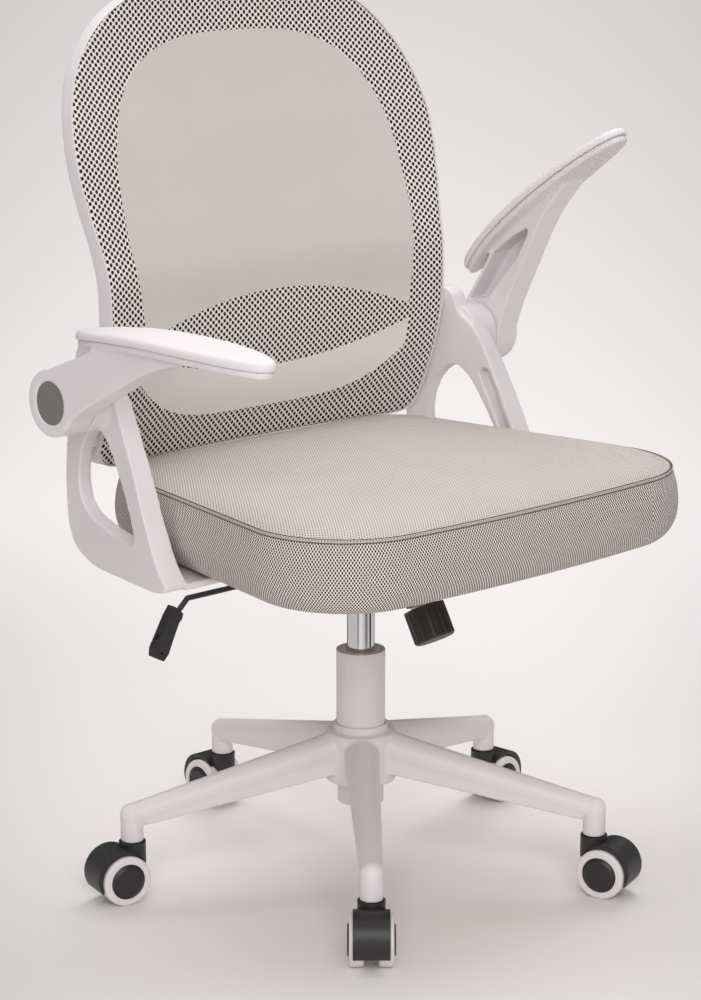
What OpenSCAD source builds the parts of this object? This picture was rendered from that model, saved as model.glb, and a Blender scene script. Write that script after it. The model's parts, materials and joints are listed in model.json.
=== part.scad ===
// Ergonomic office chair: five-star base on twin-wheel casters, gas column,
// tilt mechanism, upholstered seat, framed mesh back and flip-up armrests.
// Origin on the floor under the column. +Z up, the sitter faces -Y.

/* [Seat] */
// Height of the seat's top seam above the floor
seat_seam_z = 428; // [424:1:434]
// Height of the cushion from its underside to the seam
seat_side_h = 73.5; // [66:1:80]
// Rise of the crown above the seam
seat_crown = 12; // [6:1:18]
// Half width of the seat at the front corners
seat_front_half_w = 259; // [258:1:275]
// Half width of the seat at the rear corners
seat_rear_half_w = 211; // [200:1:215]
// Distance from the column axis to the front edge
seat_front_reach = 244; // [230:1:260]
// Distance from the column axis to the rear edge
seat_rear_reach = 166; // [160:1:172]
// Radius of the front corners
seat_front_corner_r = 98; // [80:1:110]
// Radius of the rear corners
seat_rear_corner_r = 68; // [50:1:80]
// Outward belly of the cushion's side
seat_belly = 6; // [2:1:7]
// Thickness of the plywood board inside the cushion
board_t = 12; // [9:1:15]
// Thickness of the steel seat plate
plate_t = 3; // [2:0.5:4]

/* [Back] */
// Height of the lower edge of the mesh above the floor
back_low_z = 433; // [432:1:440]
// Height of the back from the lower edge of the mesh to its top
back_h = 474; // [445:1:500]
// Largest half width of the mesh
back_half_w = 238; // [230:1:239]
// How far the top leans behind the foremost point
back_lean = 80; // [60:1:100]
// Distance from the column axis to the foremost point of the mesh edge
back_reach = 110; // [106:1:114]
// How far the middle of the mesh lies behind its edges
back_dish = 16; // [8:1:24]
// Width of the frame seen from the front
back_rim_w = 19; // [15:1:22]
// Depth of the frame at the top
back_rim_top_d = 18; // [15:1:20]
// Depth of the frame at the bottom
back_rim_low_d = 26; // [22:1:28]
// Lip of the frame outside the mesh
back_lip = 1.5; // [1:0.25:3]
// Thickness of the mesh panel
mesh_t = 2; // [1.5:0.25:3]

/* [Arms] */
// Height of the armrest pivot above the floor
arm_pivot_z = 517; // [512:1:522]
// Distance from the column axis back to the armrest pivot
arm_pivot_y = 109; // [105:1:113]
// Half distance between the outer ends of the armrest barrels
arm_outer_x = 305; // [300:1:310]
// Length of an armrest barrel
arm_barrel_l = 30; // [27:1:31]
// Radius of an armrest barrel
arm_barrel_r = 33; // [30:1:35]
// Height of the pad's top above the pivot
arm_pad_rise = 83; // [78:1:88]
// Length of the pad
arm_pad_l = 274; // [255:1:290]
// Width of the pad
arm_pad_w = 62; // [54:1:66]
// Thickness of the pad with its tray
arm_pad_t = 16; // [14:1:20]
// How far the left armrest is flipped up
arm_left_flip = 36; // [0:1:52]
// Thickness of the arm frame at its rear upright
arm_frame_rear_t = 13; // [11:1:14]
// Thickness of the arm frame at its front foot
arm_frame_front_t = 27; // [22:1:30]

/* [Base] */
// Radius of the circle of the caster stems
base_r = 245; // [230:1:280]
// Direction of the first leg
leg_first_angle = -130.8; // [-140:0.1:-120]
// Height of a leg's top at the hub
leg_root_top_z = 150; // [145:1:155]
// Height of a leg's top at its tip
leg_tip_top_z = 98.5; // [95:0.5:102]
// Width of a leg at the hub
leg_root_w = 35; // [32:1:40]
// Width of a leg at its tip and of its stem socket
leg_tip_w = 23; // [22:0.5:25]
// Depth of a leg at the hub
leg_root_d = 40; // [36:1:44]
// Radius of the hub
hub_r = 36; // [34:1:42]
// Height of the hub's collar above its top
hub_collar_h = 8; // [5:1:12]
// Wall of the ribbed underside
leg_wall = 4; // [3:0.25:4.5]
// Thickness of the ribs in the underside
leg_rib_t = 2.5; // [2:0.25:3.5]

/* [Casters] */
// Diameter of a caster wheel
wheel_d = 51; // [48:0.5:51]
// Width of a tread
tread_w = 14.5; // [12:0.5:15]
// Radius of the dark disc of a wheel
wheel_core_r = 18.2; // [16:0.2:20]
// Offset of the wheel axle from the stem
caster_trail = 15; // [13:0.5:16]
// Width of the hood
hood_w = 35.5; // [32:0.5:36]
// Diameter of the caster stem
stem_d = 11; // [10:0.5:11]
// Diameter of the wheel axle
caster_axle_d = 6; // [5:0.5:8]

/* [Column] */
// Diameter of the outer column tube
tube_d = 50; // [48:0.5:50]
// Height of the tube's top above the floor
tube_top_z = 236; // [225:1:240]
// Diameter of the gas cylinder
cylinder_d = 28; // [26:0.5:29]
// Diameter of the piston rod
rod_d = 10; // [8:0.5:11]

/* [Mechanism] */
// Half width of the mechanism housing
housing_half_w = 52; // [48:1:56]
// Height of the mechanism housing
housing_h = 42; // [40:1:44]
// Wall of the mechanism housing
housing_wall = 3; // [2.5:0.25:4]
// Diameter of the tilt axle
tilt_axle_d = 10; // [8:1:12]
// Diameter of the tension knob
knob_d = 42; // [36:1:44]
// Length of the tension knob
knob_l = 34; // [28:1:38]
// Lean of the tension knob from upright
knob_lean = 30; // [24:1:34]
// Diameter of the lever rod
lever_d = 5.5; // [5:0.25:6]
// Distance from the column axis to the bend of the lever
lever_reach = 228; // [220:1:250]
// Length of the lever grip
grip_l = 52; // [44:1:60]

/* [Hidden] */

// Shared values
$fn = 48;
over = 1;
fit_gap = 0.03;
run_gap = 0.05;
seat_gap = 0.3;
white = "#e6e3df";
dark = "#2b2b2d";

// Height stack of the seat
cushion_low_z = seat_seam_z - seat_side_h;
board_low_z = cushion_low_z - seat_gap;
plate_low_z = board_low_z - plate_t;
board_inset = 36;

// Casters
caster_count = 5;
leg_step = 360 / caster_count;
trail_turns = [-2.2, -12, -8, 4, 10];
wheel_r = wheel_d / 2;
web_half_t = 6.4;
web_gap = 0.5;
tread_in = web_half_t + web_gap;
tread_out = tread_in + tread_w;
disc_dome = 1.8;
disc_lip_r = 14;
tread_round = 2.6;
hood_gap = 1.3;
hood_in_r = wheel_r + hood_gap;
hood_out_r = 26.4;
hood_out_shift = 4.2;
hood_out_rise = 4.4;
hood_tip_drop = 9;
hood_boss_r = 13.6;
hood_top_z = 60;
boss_low_z = 37;
hood_web_low = 8;
axle_end_gap = 1;
stem_grip_l = 27;
stem_top_z = hood_top_z + stem_grip_l;
stem_groove = 1;
stem_step = 0.5;
stem_wall = 2.5;
stem_low_z = boss_low_z + stem_wall;
stem_neck_r = stem_d / 2 - stem_step;

// Base
socket_low_z = hood_top_z + seat_gap;
leg_root_r = leg_root_w / 2;
leg_tip_r = leg_tip_w / 2;
leg_drop = (leg_root_top_z - leg_root_r) - (leg_tip_top_z - leg_tip_r);
hub_bite = 6;
leg_start = hub_r - hub_bite;
skirt_bite = 4;
skirt_start = leg_start - skirt_bite;
leg_run = base_r - leg_start;
leg_lean = atan2(leg_drop, leg_run);
leg_axis_l = norm([leg_run, leg_drop]);
skirt_inset = 1.2;
elbow_swell = 0.6;
leg_low_root_z = leg_root_top_z - leg_root_d;
leg_low_tip_z = leg_tip_top_z - leg_tip_w + 2 * stem_groove;
hub_low_z = leg_low_root_z - 3 * leg_wall;
hub_top_z = leg_root_top_z + elbow_swell;
hub_collar_wall = 3;
hub_collar_r = tube_d / 2 + hub_collar_wall;
pocket_ceiling_share = 0.3;
pocket_bays = 4;
rib_slant = 1.6;

// Column
tube_r = tube_d / 2;
tube_wall = 2;
tube_low_z = 74;
taper_rate = 0.018;
taper_top_z = hub_top_z + hub_collar_h;
tube_floor_t = 3;
bushing_l = 64;
bushing_step = 3;
bushing_notches = 6;
guide_gap = 0.06;
cylinder_r = cylinder_d / 2;
cylinder_wall = 2;
cylinder_low_z = 150;
cylinder_top_z = 324;
cone_rate = 0.03;
cone_l = 40;
cone_grip_l = 22;
gland_l = 18;
rod_r = rod_d / 2;
rod_top_z = 223;
piston_l = 14;
bearing_r = 14;
bearing_h = 7;
bearing_rings = 3;
lift_down = 60;
lift_up = 40;

// Mechanism
lever_z = 332.4;
lever_r = lever_d / 2;
lever_inner_x = 14;
button_r = 4;
button_gap = 0.3;
button_top_z = lever_z - lever_r - button_gap;
button_l = 24;
button_stroke = 3;
button_low_z = button_top_z - button_l;
housing_low_z = cylinder_top_z - cone_grip_l;
housing_front_rise = 12;
housing_nose = 14;
housing_tail = 8;
housing_top_z = housing_low_z + housing_h;
housing_front_y = -82;
housing_rear_y = 48;
cone_boss_r = 21;
tilt_y = -26;
tilt_z = 335;
tilt_max = 10;
tilt_spare = 3;
tilt_axle_r = tilt_axle_d / 2;
axle_end = 2;
flange_gap = 2;
flange_t = 3;
flange_half_l = 15;
bush_r = 7;
bush_l = 12;
bush_rim = 2.5;
bush_pin_r = 1.5;
bush_ear_t = 5;
bush_ear_half = 3.5;
bush_pin_half_l = bush_r + bush_ear_t;
lever_pivot_l = 6;
lever_pivot_x = housing_half_w - lever_pivot_l;
plate_half_w = 95;
plate_front_y = -90;
plate_rear_y = 78;
screw_r = 3;
lever_bend_drop = 9;
lever_bend_run = 10;
grip_lean = 30;
grip_shift = 4;
grip_lift = 2;
grip_end_w = 17;
grip_t = 11;
// Outline of the grip: [share of its end width, share of its length]
grip_shares = [[-0.38, 0], [0.38, 0.05], [0.43, 0.16], [0.35, 0.24], [0.42, 0.6],
    [0.5, 0.84], [0.36, 1], [-0.3, 1], [-0.5, 0.86], [-0.47, 0.2]];
grip_hole_share = 0.88;
grip_hole_r = 1.6;

// Tension knob, along an axis that leans forward and down
knob_top_y = -83;
knob_top_z = 312;
knob_travel = 4.5;
knob_hub_l = 8;
knob_hub_wall = 3;
knob_bevel = 2;
knob_screw_bore_r = 2;
knob_screw_l = 12;
knob_flute_count = 18;
knob_flute_r = 1.8;
knob_screw_r = 5;
washer_r = 13;
washer_t = 3;
spring_coils = 5;
spring_wire_r = 1.6;
spring_mean_r = 9.4;
spring_cup_r = 14;
spring_cup_wall = 2.5;
spring_cup_l = 30;
knob_hub_gap = 0.4;
cup_spare = 4;

// Arm frames. Plan rows are [Y from the column, inner face] in shares
// of the pivot's distance and of the barrel's inner end.
arm_in_x = arm_outer_x - arm_barrel_l;
arm_face_gap = 1.5;
frame_rear_y = 170;
frame_front_y = -22;
frame_in_rear_x = 228;
frame_in_front_x = 246;
foot_drop = 9;
foot_low_z = board_low_z - foot_drop;
frame_bar_t = 6.8;
frame_bar_in_x = 120;
frame_bar_front_y = frame_front_y;
frame_bar_rear_y = 60;
bar_screw_inset = 15;
spigot_r = 15;
cap_r = 21.5;
cap_recess = 3;
cap_t = 1.6;
cap_gap = seat_gap - fit_gap;
ear_r = 15;
ear_y = 124;
ear_z = 556;
bolt_r = 3;
bolt_head_r = 5.5;
bolt_head_t = 4;
bolt_grip = 10;
bolt_spare = 1;
bolt_socket_share = 0.7;
bolt_low_z = 463;
bolt_high_z = 553;
lug_r = 8;
lug_l = 16;
lug_gap = 0.75;

// Side outline of an arm frame: [share of its depth from the front,
// share of its height from the foot to the top of the ear]
frame_outline_shares = [
    [0.00, 0.035], [0.07, 0.005], [0.22, 0.000], [0.45, 0.000], [0.66, 0.000],
    [0.80, 0.020], [0.92, 0.065], [0.985, 0.155], [1.00, 0.28], [1.00, 0.40],
    [0.975, 0.54], [0.94, 0.66], [0.90, 0.80], [0.86, 0.93], [0.80, 0.985],
    [0.73, 0.99], [0.665, 0.955], [0.63, 0.88], [0.545, 0.83],
    [0.46, 0.75], [0.365, 0.60], [0.27, 0.44], [0.18, 0.27], [0.075, 0.11]];
frame_window_shares = [
    [0.30, 0.195], [0.345, 0.168], [0.48, 0.175], [0.62, 0.195],
    [0.745, 0.225], [0.825, 0.275], [0.855, 0.355], [0.845, 0.45],
    [0.80, 0.54], [0.73, 0.60], [0.66, 0.625], [0.60, 0.61],
    [0.53, 0.56], [0.44, 0.455], [0.36, 0.34], [0.315, 0.25]];
frame_recess_shares = [[0.14, 0.12], [0.215, 0.12], [0.30, 0.30],
    [0.39, 0.46], [0.475, 0.60], [0.41, 0.62], [0.31, 0.44], [0.22, 0.28]];

// Back outline: [half width share, height share], from the middle of the
// lower edge up one side to the middle of the top
back_outline_shares = [
    [0.00, 0.000], [0.30, 0.000], [0.60, 0.000], [0.80, 0.000],
    [0.875, 0.008], [0.912, 0.028], [0.924, 0.060], [0.928, 0.110],
    [0.932, 0.180], [0.940, 0.260], [0.944, 0.330], [0.948, 0.400],
    [0.961, 0.470], [0.984, 0.540], [1.000, 0.620], [0.995, 0.690],
    [0.962, 0.760], [0.895, 0.830], [0.785, 0.895], [0.640, 0.945],
    [0.450, 0.980], [0.230, 0.996], [0.000, 1.000]];
// How far each height lies behind the foremost point, in shares of the lean
back_depth_shares = [0.42, 0.34, 0.22, 0.115, 0.045, 0.00, -0.015, -0.012,
    0.01, 0.083, 0.168, 0.26, 0.346, 0.424, 0.506, 0.597, 0.68, 0.75, 0.80,
    0.82, 0.80];

// Armrest side profile in shares of the pad's length forward of the pivot
// and of the pad's rise
wing_top_shares = [[0.00, 0.40], [0.036, 0.46], [0.164, 0.61], [0.237, 0.72]];
wing_low_shares = [[0.74, 0.78], [0.60, 0.67], [0.507, 0.55], [0.376, 0.33],
    [0.223, 0.073], [0.117, -0.146], [0.07, -0.28]];
wing_recess_shares = [[0.475, 0.66], [0.38, 0.70], [0.262, 0.70], [0.176, 0.585],
    [0.05, 0.44], [0.03, 0.43], [0.124, 0.275], [0.361, 0.44], [0.455, 0.58]];

// Functions
function lerp(a, b, s) = a + (b - a) * s;
function smooth_table(t, s) =
    let (n = len(t) - 1, u = min(max(s, 0), 1) * n, i = min(floor(u), n - 1), f = u - i,
        a = t[max(i - 1, 0)], b = t[i], c = t[i + 1], d = t[min(i + 2, n)])
    b + f * (c - a) / 2 + f * f * (a - 2.5 * b + 2 * c - d / 2)
        + f * f * f * (1.5 * (b - c) + (d - a) / 2);
function reversed(t) = [for (i = [len(t) - 1:-1:0]) t[i]];
function mirrored(t) = [for (p = t) [-p[0], p[1]]];
function arc(c, r, a0, a1, n) =
    [for (i = [0:n]) c + r * [cos(lerp(a0, a1, i / n)), sin(lerp(a0, a1, i / n))]];
function edge_points(a, b, n, bulge) =
    let (d = b - a, q = [d[1], -d[0]] / norm(d))
    [for (i = [1:n - 1]) a + d * i / n + q * bulge * 4 * (i / n) * (1 - i / n)];
// Closed curve through points, each stretch cut into n steps
function closed_curve(p, n) =
    let (m = len(p))
    [for (i = [0:m - 1]) for (j = [0:n - 1])
        let (f = j / n, a = p[(i + m - 1) % m], b = p[i], c = p[(i + 1) % m], d = p[(i + 2) % m])
        b + f * (c - a) / 2 + f * f * (a - 2.5 * b + 2 * c - d / 2)
            + f * f * f * (1.5 * (b - c) + (d - a) / 2)];
function ring_faces(k, n) = [for (j = [0:n - 1])
    each [[k * n + j, k * n + (j + 1) % n, (k + 1) * n + (j + 1) % n],
        [k * n + j, (k + 1) * n + (j + 1) % n, (k + 1) * n + j]]];

// Seat outline, a rounded trapezoid whose sides touch both corner arcs
seat_corner_f = [seat_front_half_w - seat_front_corner_r, seat_front_corner_r - seat_front_reach];
seat_corner_r = [seat_rear_half_w - seat_rear_corner_r, seat_rear_reach - seat_rear_corner_r];
seat_side = seat_corner_f - seat_corner_r;
seat_side_angle = atan2(seat_side[1], seat_side[0])
    + acos((seat_rear_corner_r - seat_front_corner_r) / norm(seat_side));
seat_front_bulge = seat_belly;
seat_arc_n = 8;
seat_edge_n = 4;
function seat_ring(g) =
    let (f = arc(seat_corner_f, seat_front_corner_r + g, -90, seat_side_angle, seat_arc_n),
        r = arc(seat_corner_r, seat_rear_corner_r + g, seat_side_angle, 90, seat_arc_n),
        s = edge_points(f[seat_arc_n], r[0], seat_edge_n, 0),
        half = concat(f, s, r),
        other = reversed(mirrored(half)),
        back_edge = edge_points(r[seat_arc_n], other[0], seat_edge_n, 0),
        front_edge = edge_points(other[len(other) - 1], f[0], seat_edge_n, seat_front_bulge))
    concat(half, back_edge, other, front_edge);
seat_mid = [0, (seat_rear_reach - seat_front_reach) / 2];
function seat_level(g, share, z) =
    [for (p = seat_ring(g)) let (q = seat_mid + (p - seat_mid) * share) [q[0], q[1], z]];

// Cushion section rows: [outward shift in bellies, share of the plan,
// share of the side height]; the crown follows above the seam
cushion_side_shares = [[-4.6, 1, 0.0], [-2.3, 1, 0.035], [-0.6, 1, 0.13], [0.6, 1, 0.30],
    [1.0, 1, 0.50], [0.8, 1, 0.72], [0.25, 1, 0.92], [0.1, 1, 0.975], [-0.55, 1, 0.985], [-0.75, 1, 1.02]];
crown_plan_shares = [0.93, 0.80, 0.62, 0.40, 0.18];
crown_rise_shares = [0.48, 0.76, 0.92, 0.985, 1.0];

// Back surface
function back_rest_y(h) = back_reach + back_lean * smooth_table(back_depth_shares, h);
function back_point(w, h, behind) =
    [w * back_half_w, back_rest_y(h) + back_dish * (1 - w * w) + behind, back_low_z + h * back_h];
back_loop_shares = concat(back_outline_shares,
    [for (i = [len(back_outline_shares) - 2:-1:1])
        [-back_outline_shares[i][0], back_outline_shares[i][1]]]);
back_loop = closed_curve(back_loop_shares, 2);
back_n = len(back_loop);
function back_normal(i) =
    let (a = back_loop[(i + back_n - 1) % back_n], b = back_loop[(i + 1) % back_n],
        d = [(b[0] - a[0]) * back_half_w, (b[1] - a[1]) * back_h])
    [d[1], -d[0]] / norm(d);
// One section point of the frame: out is outward in the front view, behind
// is the distance behind the mesh's front face
function rim_point(i, out, behind) =
    let (p = back_loop[i], q = back_normal(i))
    back_point(p[0] + q[0] * out / back_half_w, p[1] + q[1] * out / back_h, behind);
// The frame thins out up to this share of its height
rim_thin_share = 0.7;
function rim_depth(h) = lerp(back_rim_low_d, back_rim_top_d, min(1, h / rim_thin_share));
rim_round_share = 0.2;
rim_wall_share = 0.85;
mesh_gap = 0.5;
mesh_low_row = 3;

// Arm pad outline, a leaf with blunt ends: y along the pad, x across it
pad_taper_share = 0.05;
pad_n = 40;
pad_power = 2.3;
function pad_outline(g) = [for (i = [0:pad_n - 1])
    let (a = 360 * i / pad_n, c = cos(a), s = sin(a),
        cx = sign(c) * pow(abs(c), 2 / pad_power), sy = sign(s) * pow(abs(s), 2 / pad_power))
    [(arm_pad_w / 2 + g) * cx * (1 - pad_taper_share * sy - pad_taper_share * sy * sy),
        (arm_pad_l / 2 + g) * sy]];
// Drop of the pad's ends below its middle
pad_arch_rear = 10;
pad_arch_front = 5;
pad_rear_gap = 22;
pad_mid_y = arm_pivot_y - pad_rear_gap - arm_pad_l / 2;
pad_overhang = 9;
pad_mid_x = arm_outer_x + pad_overhang - arm_pad_w / 2;
pad_top_z = arm_pivot_z + arm_pad_rise;
pad_tray_share = 0.6;
pad_parting = 0.3;
pad_tray_inset = 2.5;
pad_edge_steps = 16;
wing_skin = 5;
pad_edge_round = 2;
pad_top_round = 7;
function pad_sag(y) = (y > 0 ? pad_arch_rear : pad_arch_front) * pow(2 * y / arm_pad_l, 2);

// Base

module leg_cone() {
    translate([leg_start, 0, leg_root_top_z - leg_root_r])
        rotate([0, 90 + leg_lean, 0])
            cylinder(h = leg_axis_l, r1 = leg_root_r, r2 = leg_tip_r);
}

module leg_plan(inset) {
    polygon([[skirt_start, inset - leg_root_r], [base_r, inset - leg_tip_r],
        [base_r, leg_tip_r - inset], [skirt_start, leg_root_r - inset]]);
}

module leg_skirt() {
    intersection() {
        linear_extrude(leg_root_top_z)
            leg_plan(skirt_inset);
        rotate([90, 0, 0])
            linear_extrude(2 * leg_root_w, center = true)
                polygon([[skirt_start, leg_low_root_z], [base_r - leg_tip_r, leg_low_tip_z],
                    [base_r - leg_tip_r, leg_tip_top_z - leg_tip_r],
                    [skirt_start, leg_root_top_z - leg_root_r]]);
    }
}

// Triangular pockets of one leg, between a middle rib and slanted ribs
module leg_pockets() {
    first = hub_r + leg_rib_t;
    last = base_r - leg_tip_w;
    bay = (last - first) / pocket_bays;
    intersection() {
        linear_extrude(leg_root_top_z)
            for (k = [0:pocket_bays - 1], side = [-1, 1]) {
                x0 = first + k * bay;
                x1 = x0 + bay - leg_rib_t;
                w0 = lerp(leg_root_r, leg_tip_r, (x0 - leg_start) / leg_run) - leg_wall - skirt_inset;
                w1 = lerp(leg_root_r, leg_tip_r, (x1 - leg_start) / leg_run) - leg_wall - skirt_inset;
                rib = leg_rib_t / 2;
                slant = leg_rib_t * rib_slant;
                if (w1 > 3 * rib) {
                    polygon([[x0, side * rib], [x1 - slant, side * rib], [x0, side * (w0 - rib)]]);
                    polygon([[x0 + slant, side * w0], [x1, side * (rib * 2)], [x1, side * w1]]);
                }
            }
        rotate([90, 0, 0])
            linear_extrude(2 * leg_root_w, center = true)
                polygon([[leg_start, 0], [base_r, 0],
                    [base_r, leg_tip_top_z - leg_tip_r + pocket_ceiling_share * leg_tip_r],
                    [leg_start, leg_root_top_z - leg_root_r + pocket_ceiling_share * leg_root_r]]);
    }
}

module leg_socket() {
    translate([base_r, 0, socket_low_z])
        cylinder(h = leg_tip_top_z - leg_tip_r - socket_low_z, r = leg_tip_r);
    translate([base_r, 0, leg_tip_top_z - leg_tip_r])
        sphere(r = leg_tip_r + elbow_swell);
}

module hub_taper(gap) {
    rotate_extrude()
        polygon([[0, hub_low_z - over],
            [tube_r + gap - taper_rate * (taper_top_z - hub_low_z + over), hub_low_z - over],
            [tube_r + gap + taper_rate * over, taper_top_z + over], [0, taper_top_z + over]]);
}

module five_star_base() {
    color(white)
        difference() {
            union() {
                for (k = [0:caster_count - 1])
                    rotate(leg_first_angle + k * leg_step) {
                        leg_cone();
                        leg_skirt();
                        leg_socket();
                    }
                translate([0, 0, hub_low_z])
                    cylinder(h = hub_top_z - hub_low_z, r = hub_r);
                translate([0, 0, hub_top_z])
                    cylinder(h = hub_collar_h, r = hub_collar_r);
            }
            hub_taper(fit_gap);
            for (k = [0:caster_count - 1])
                rotate(leg_first_angle + k * leg_step) {
                    leg_pockets();
                    translate([base_r, 0, socket_low_z - over])
                        cylinder(h = stem_top_z - socket_low_z + over + seat_gap,
                            r = stem_d / 2 + fit_gap);
                }
        }
}

module caster_stems() {
    color("silver")
        for (k = [0:caster_count - 1])
            rotate(leg_first_angle + k * leg_step)
                translate([base_r, 0, 0])
                    difference() {
                        union() {
                            translate([0, 0, socket_low_z])
                                cylinder(h = stem_top_z - socket_low_z, r = stem_d / 2);
                            translate([0, 0, stem_low_z])
                                cylinder(h = socket_low_z - stem_low_z + over, r = stem_neck_r);
                        }
                        translate([0, 0, stem_low_z + stem_wall])
                            rotate_extrude()
                                translate([stem_neck_r - stem_groove, 0])
                                    square([stem_groove + over, 2 * stem_groove]);
                    }
}

// Column

function tube_outer(z) = tube_r - taper_rate * max(0, taper_top_z - z);

module column_tube() {
    color(white)
        difference() {
            rotate_extrude()
                polygon([[0, tube_low_z], [tube_outer(tube_low_z), tube_low_z],
                    [tube_r, taper_top_z], [tube_r, tube_top_z], [0, tube_top_z]]);
            translate([0, 0, tube_low_z + tube_floor_t])
                cylinder(h = tube_top_z, r = tube_outer(tube_low_z) - tube_wall);
            translate([0, 0, tube_low_z - over])
                cylinder(h = tube_floor_t + 2 * over, r = rod_r + run_gap);
        }
}

module column_bushing() {
    inner_r = tube_outer(tube_low_z) - tube_wall - fit_gap;
    color(dark)
        difference() {
            translate([0, 0, tube_top_z - bushing_l])
                cylinder(h = bushing_l - bushing_step, r = inner_r);
            translate([0, 0, tube_top_z - bushing_l - over])
                cylinder(h = bushing_l + 2 * over, r = cylinder_r + guide_gap);
            for (k = [1:bushing_notches])
                rotate(k * 360 / bushing_notches)
                    translate([inner_r, 0, tube_top_z - 2 * bushing_step])
                        cylinder(h = bushing_step + over, r = bushing_step / 2);
        }
}

module rod_bearing() {
    z = tube_low_z + tube_floor_t;
    ring_h = bearing_h / bearing_rings;
    color("dimgray")
        difference() {
            union() {
                translate([0, 0, z])
                    cylinder(h = ring_h, r = bearing_r);
                translate([0, 0, z + ring_h])
                    cylinder(h = ring_h, r = bearing_r - fit_gap - stem_groove);
                translate([0, 0, z + 2 * ring_h])
                    cylinder(h = ring_h, r = bearing_r);
            }
            translate([0, 0, z - over])
                cylinder(h = bearing_h + 2 * over, r = rod_r + run_gap);
        }
}

module piston_rod() {
    clip_z = tube_low_z - seat_gap - stem_groove;
    color("silver") {
        translate([0, 0, clip_z])
            cylinder(h = rod_top_z - clip_z, r = rod_r);
        translate([0, 0, clip_z])
            cylinder(h = stem_groove, r = rod_r + 2 * stem_groove);
        translate([0, 0, rod_top_z - piston_l])
            cylinder(h = piston_l, r = cylinder_r - cylinder_wall - guide_gap);
    }
}

module cylinder_outline(gap) {
    polygon([[0, cylinder_low_z - gap], [cylinder_r + gap, cylinder_low_z - gap],
        [cylinder_r + gap, cylinder_top_z - cone_l],
        [cylinder_r + gap - cone_rate * cone_l, cylinder_top_z], [0, cylinder_top_z]]);
}

module gas_cylinder() {
    color("gainsboro")
        difference() {
            rotate_extrude()
                cylinder_outline(0);
            translate([0, 0, cylinder_low_z + gland_l])
                cylinder(h = cylinder_top_z - cone_l - cylinder_low_z - gland_l,
                    r = cylinder_r - cylinder_wall);
            translate([0, 0, cylinder_low_z - over])
                cylinder(h = gland_l + 2 * over, r = rod_r + run_gap);
            translate([0, 0, button_low_z - button_stroke - button_gap])
                cylinder(h = cylinder_top_z, r = button_r + run_gap);
        }
}

module release_button() {
    color("silver") {
        translate([0, 0, button_low_z])
            cylinder(h = button_top_z - button_low_z - stem_groove, r = button_r);
        translate([0, 0, button_top_z - stem_groove])
            cylinder(h = stem_groove, r1 = button_r, r2 = button_r - stem_groove);
    }
}

// Mechanism

// Housing wall outline seen from the side, with the top cut down behind the
// axle so that the seat plate can tilt
module housing_side() {
    back_drop = (housing_rear_y - tilt_y) * tan(tilt_max + tilt_spare);
    polygon([[housing_front_y, housing_low_z + housing_front_rise],
        [housing_front_y + housing_nose, housing_low_z],
        [housing_rear_y - housing_tail, housing_low_z],
        [housing_rear_y, housing_low_z + housing_tail],
        [housing_rear_y, housing_top_z - back_drop],
        [tilt_y, housing_top_z], [housing_front_y, housing_top_z]]);
}

module knob_frame() {
    translate([0, knob_top_y, knob_top_z])
        rotate([-knob_lean, 0, 0])
            children();
}

module mechanism_housing() {
    color("#3a3a3c")
        difference() {
            union() {
                difference() {
                    rotate([90, 0, 90])
                        linear_extrude(2 * housing_half_w, center = true)
                            housing_side();
                    translate([housing_wall - housing_half_w, housing_front_y + housing_wall,
                        housing_low_z + housing_wall])
                        cube([2 * (housing_half_w - housing_wall),
                            housing_rear_y - housing_front_y - 2 * housing_wall, housing_h]);
                }
                translate([0, 0, housing_low_z])
                    cylinder(h = cylinder_top_z - housing_low_z, r = cone_boss_r);
                for (side = [-1, 1])
                    translate([-housing_half_w, side * (bush_r + seat_gap + bush_ear_t / 2), lever_z - bush_ear_half])
                        translate([0, -bush_ear_t / 2, 0])
                            cube([lever_pivot_l + bush_ear_half, bush_ear_t, 2 * bush_ear_half]);
                intersection() {
                    knob_frame()
                        translate([0, 0, cup_low])
                            cylinder(h = 2 * spring_cup_l, r = spring_cup_r + spring_cup_wall);
                    rotate([90, 0, 90])
                        linear_extrude(2 * housing_half_w, center = true)
                            polygon([[housing_front_y - spring_cup_l, housing_low_z - spring_cup_r],
                                [tilt_y - 2 * tilt_axle_r, housing_low_z - spring_cup_r],
                                [tilt_y - 2 * tilt_axle_r, housing_top_z - housing_wall],
                                [housing_front_y - spring_cup_l, housing_top_z - housing_wall]]);
                }
            }
            translate([0, 0, housing_low_z])
                rotate_extrude()
                    translate([0, -housing_low_z])
                        cylinder_outline(fit_gap);
            knob_frame()
                translate([0, 0, -2 * spring_cup_l])
                    cylinder(h = 2 * spring_cup_l + spring_cup_r, r = spring_cup_r);
            translate([0, tilt_y, tilt_z])
                rotate([0, 90, 0])
                    cylinder(h = 2 * housing_half_w + 2 * over, r = tilt_axle_r + fit_gap, center = true);
            translate([-housing_half_w - over, 0, lever_z])
                rotate([0, 90, 0])
                    cylinder(h = housing_wall + 2 * over, r = bush_r + seat_gap);
            translate([-housing_half_w - over, -bush_r - seat_gap, lever_z])
                cube([housing_wall + 2 * over, 2 * (bush_r + seat_gap), housing_h]);
            lever_pin(bush_pin_r + run_gap, bush_pin_half_l + over);
        }
}

// Cross pin on which the lever's bush rocks, between two ears of the housing
module lever_pin(r, half_l) {
    translate([-lever_pivot_x, 0, lever_z])
        rotate([90, 0, 0])
            cylinder(h = 2 * half_l, r = r, center = true);
}

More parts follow.
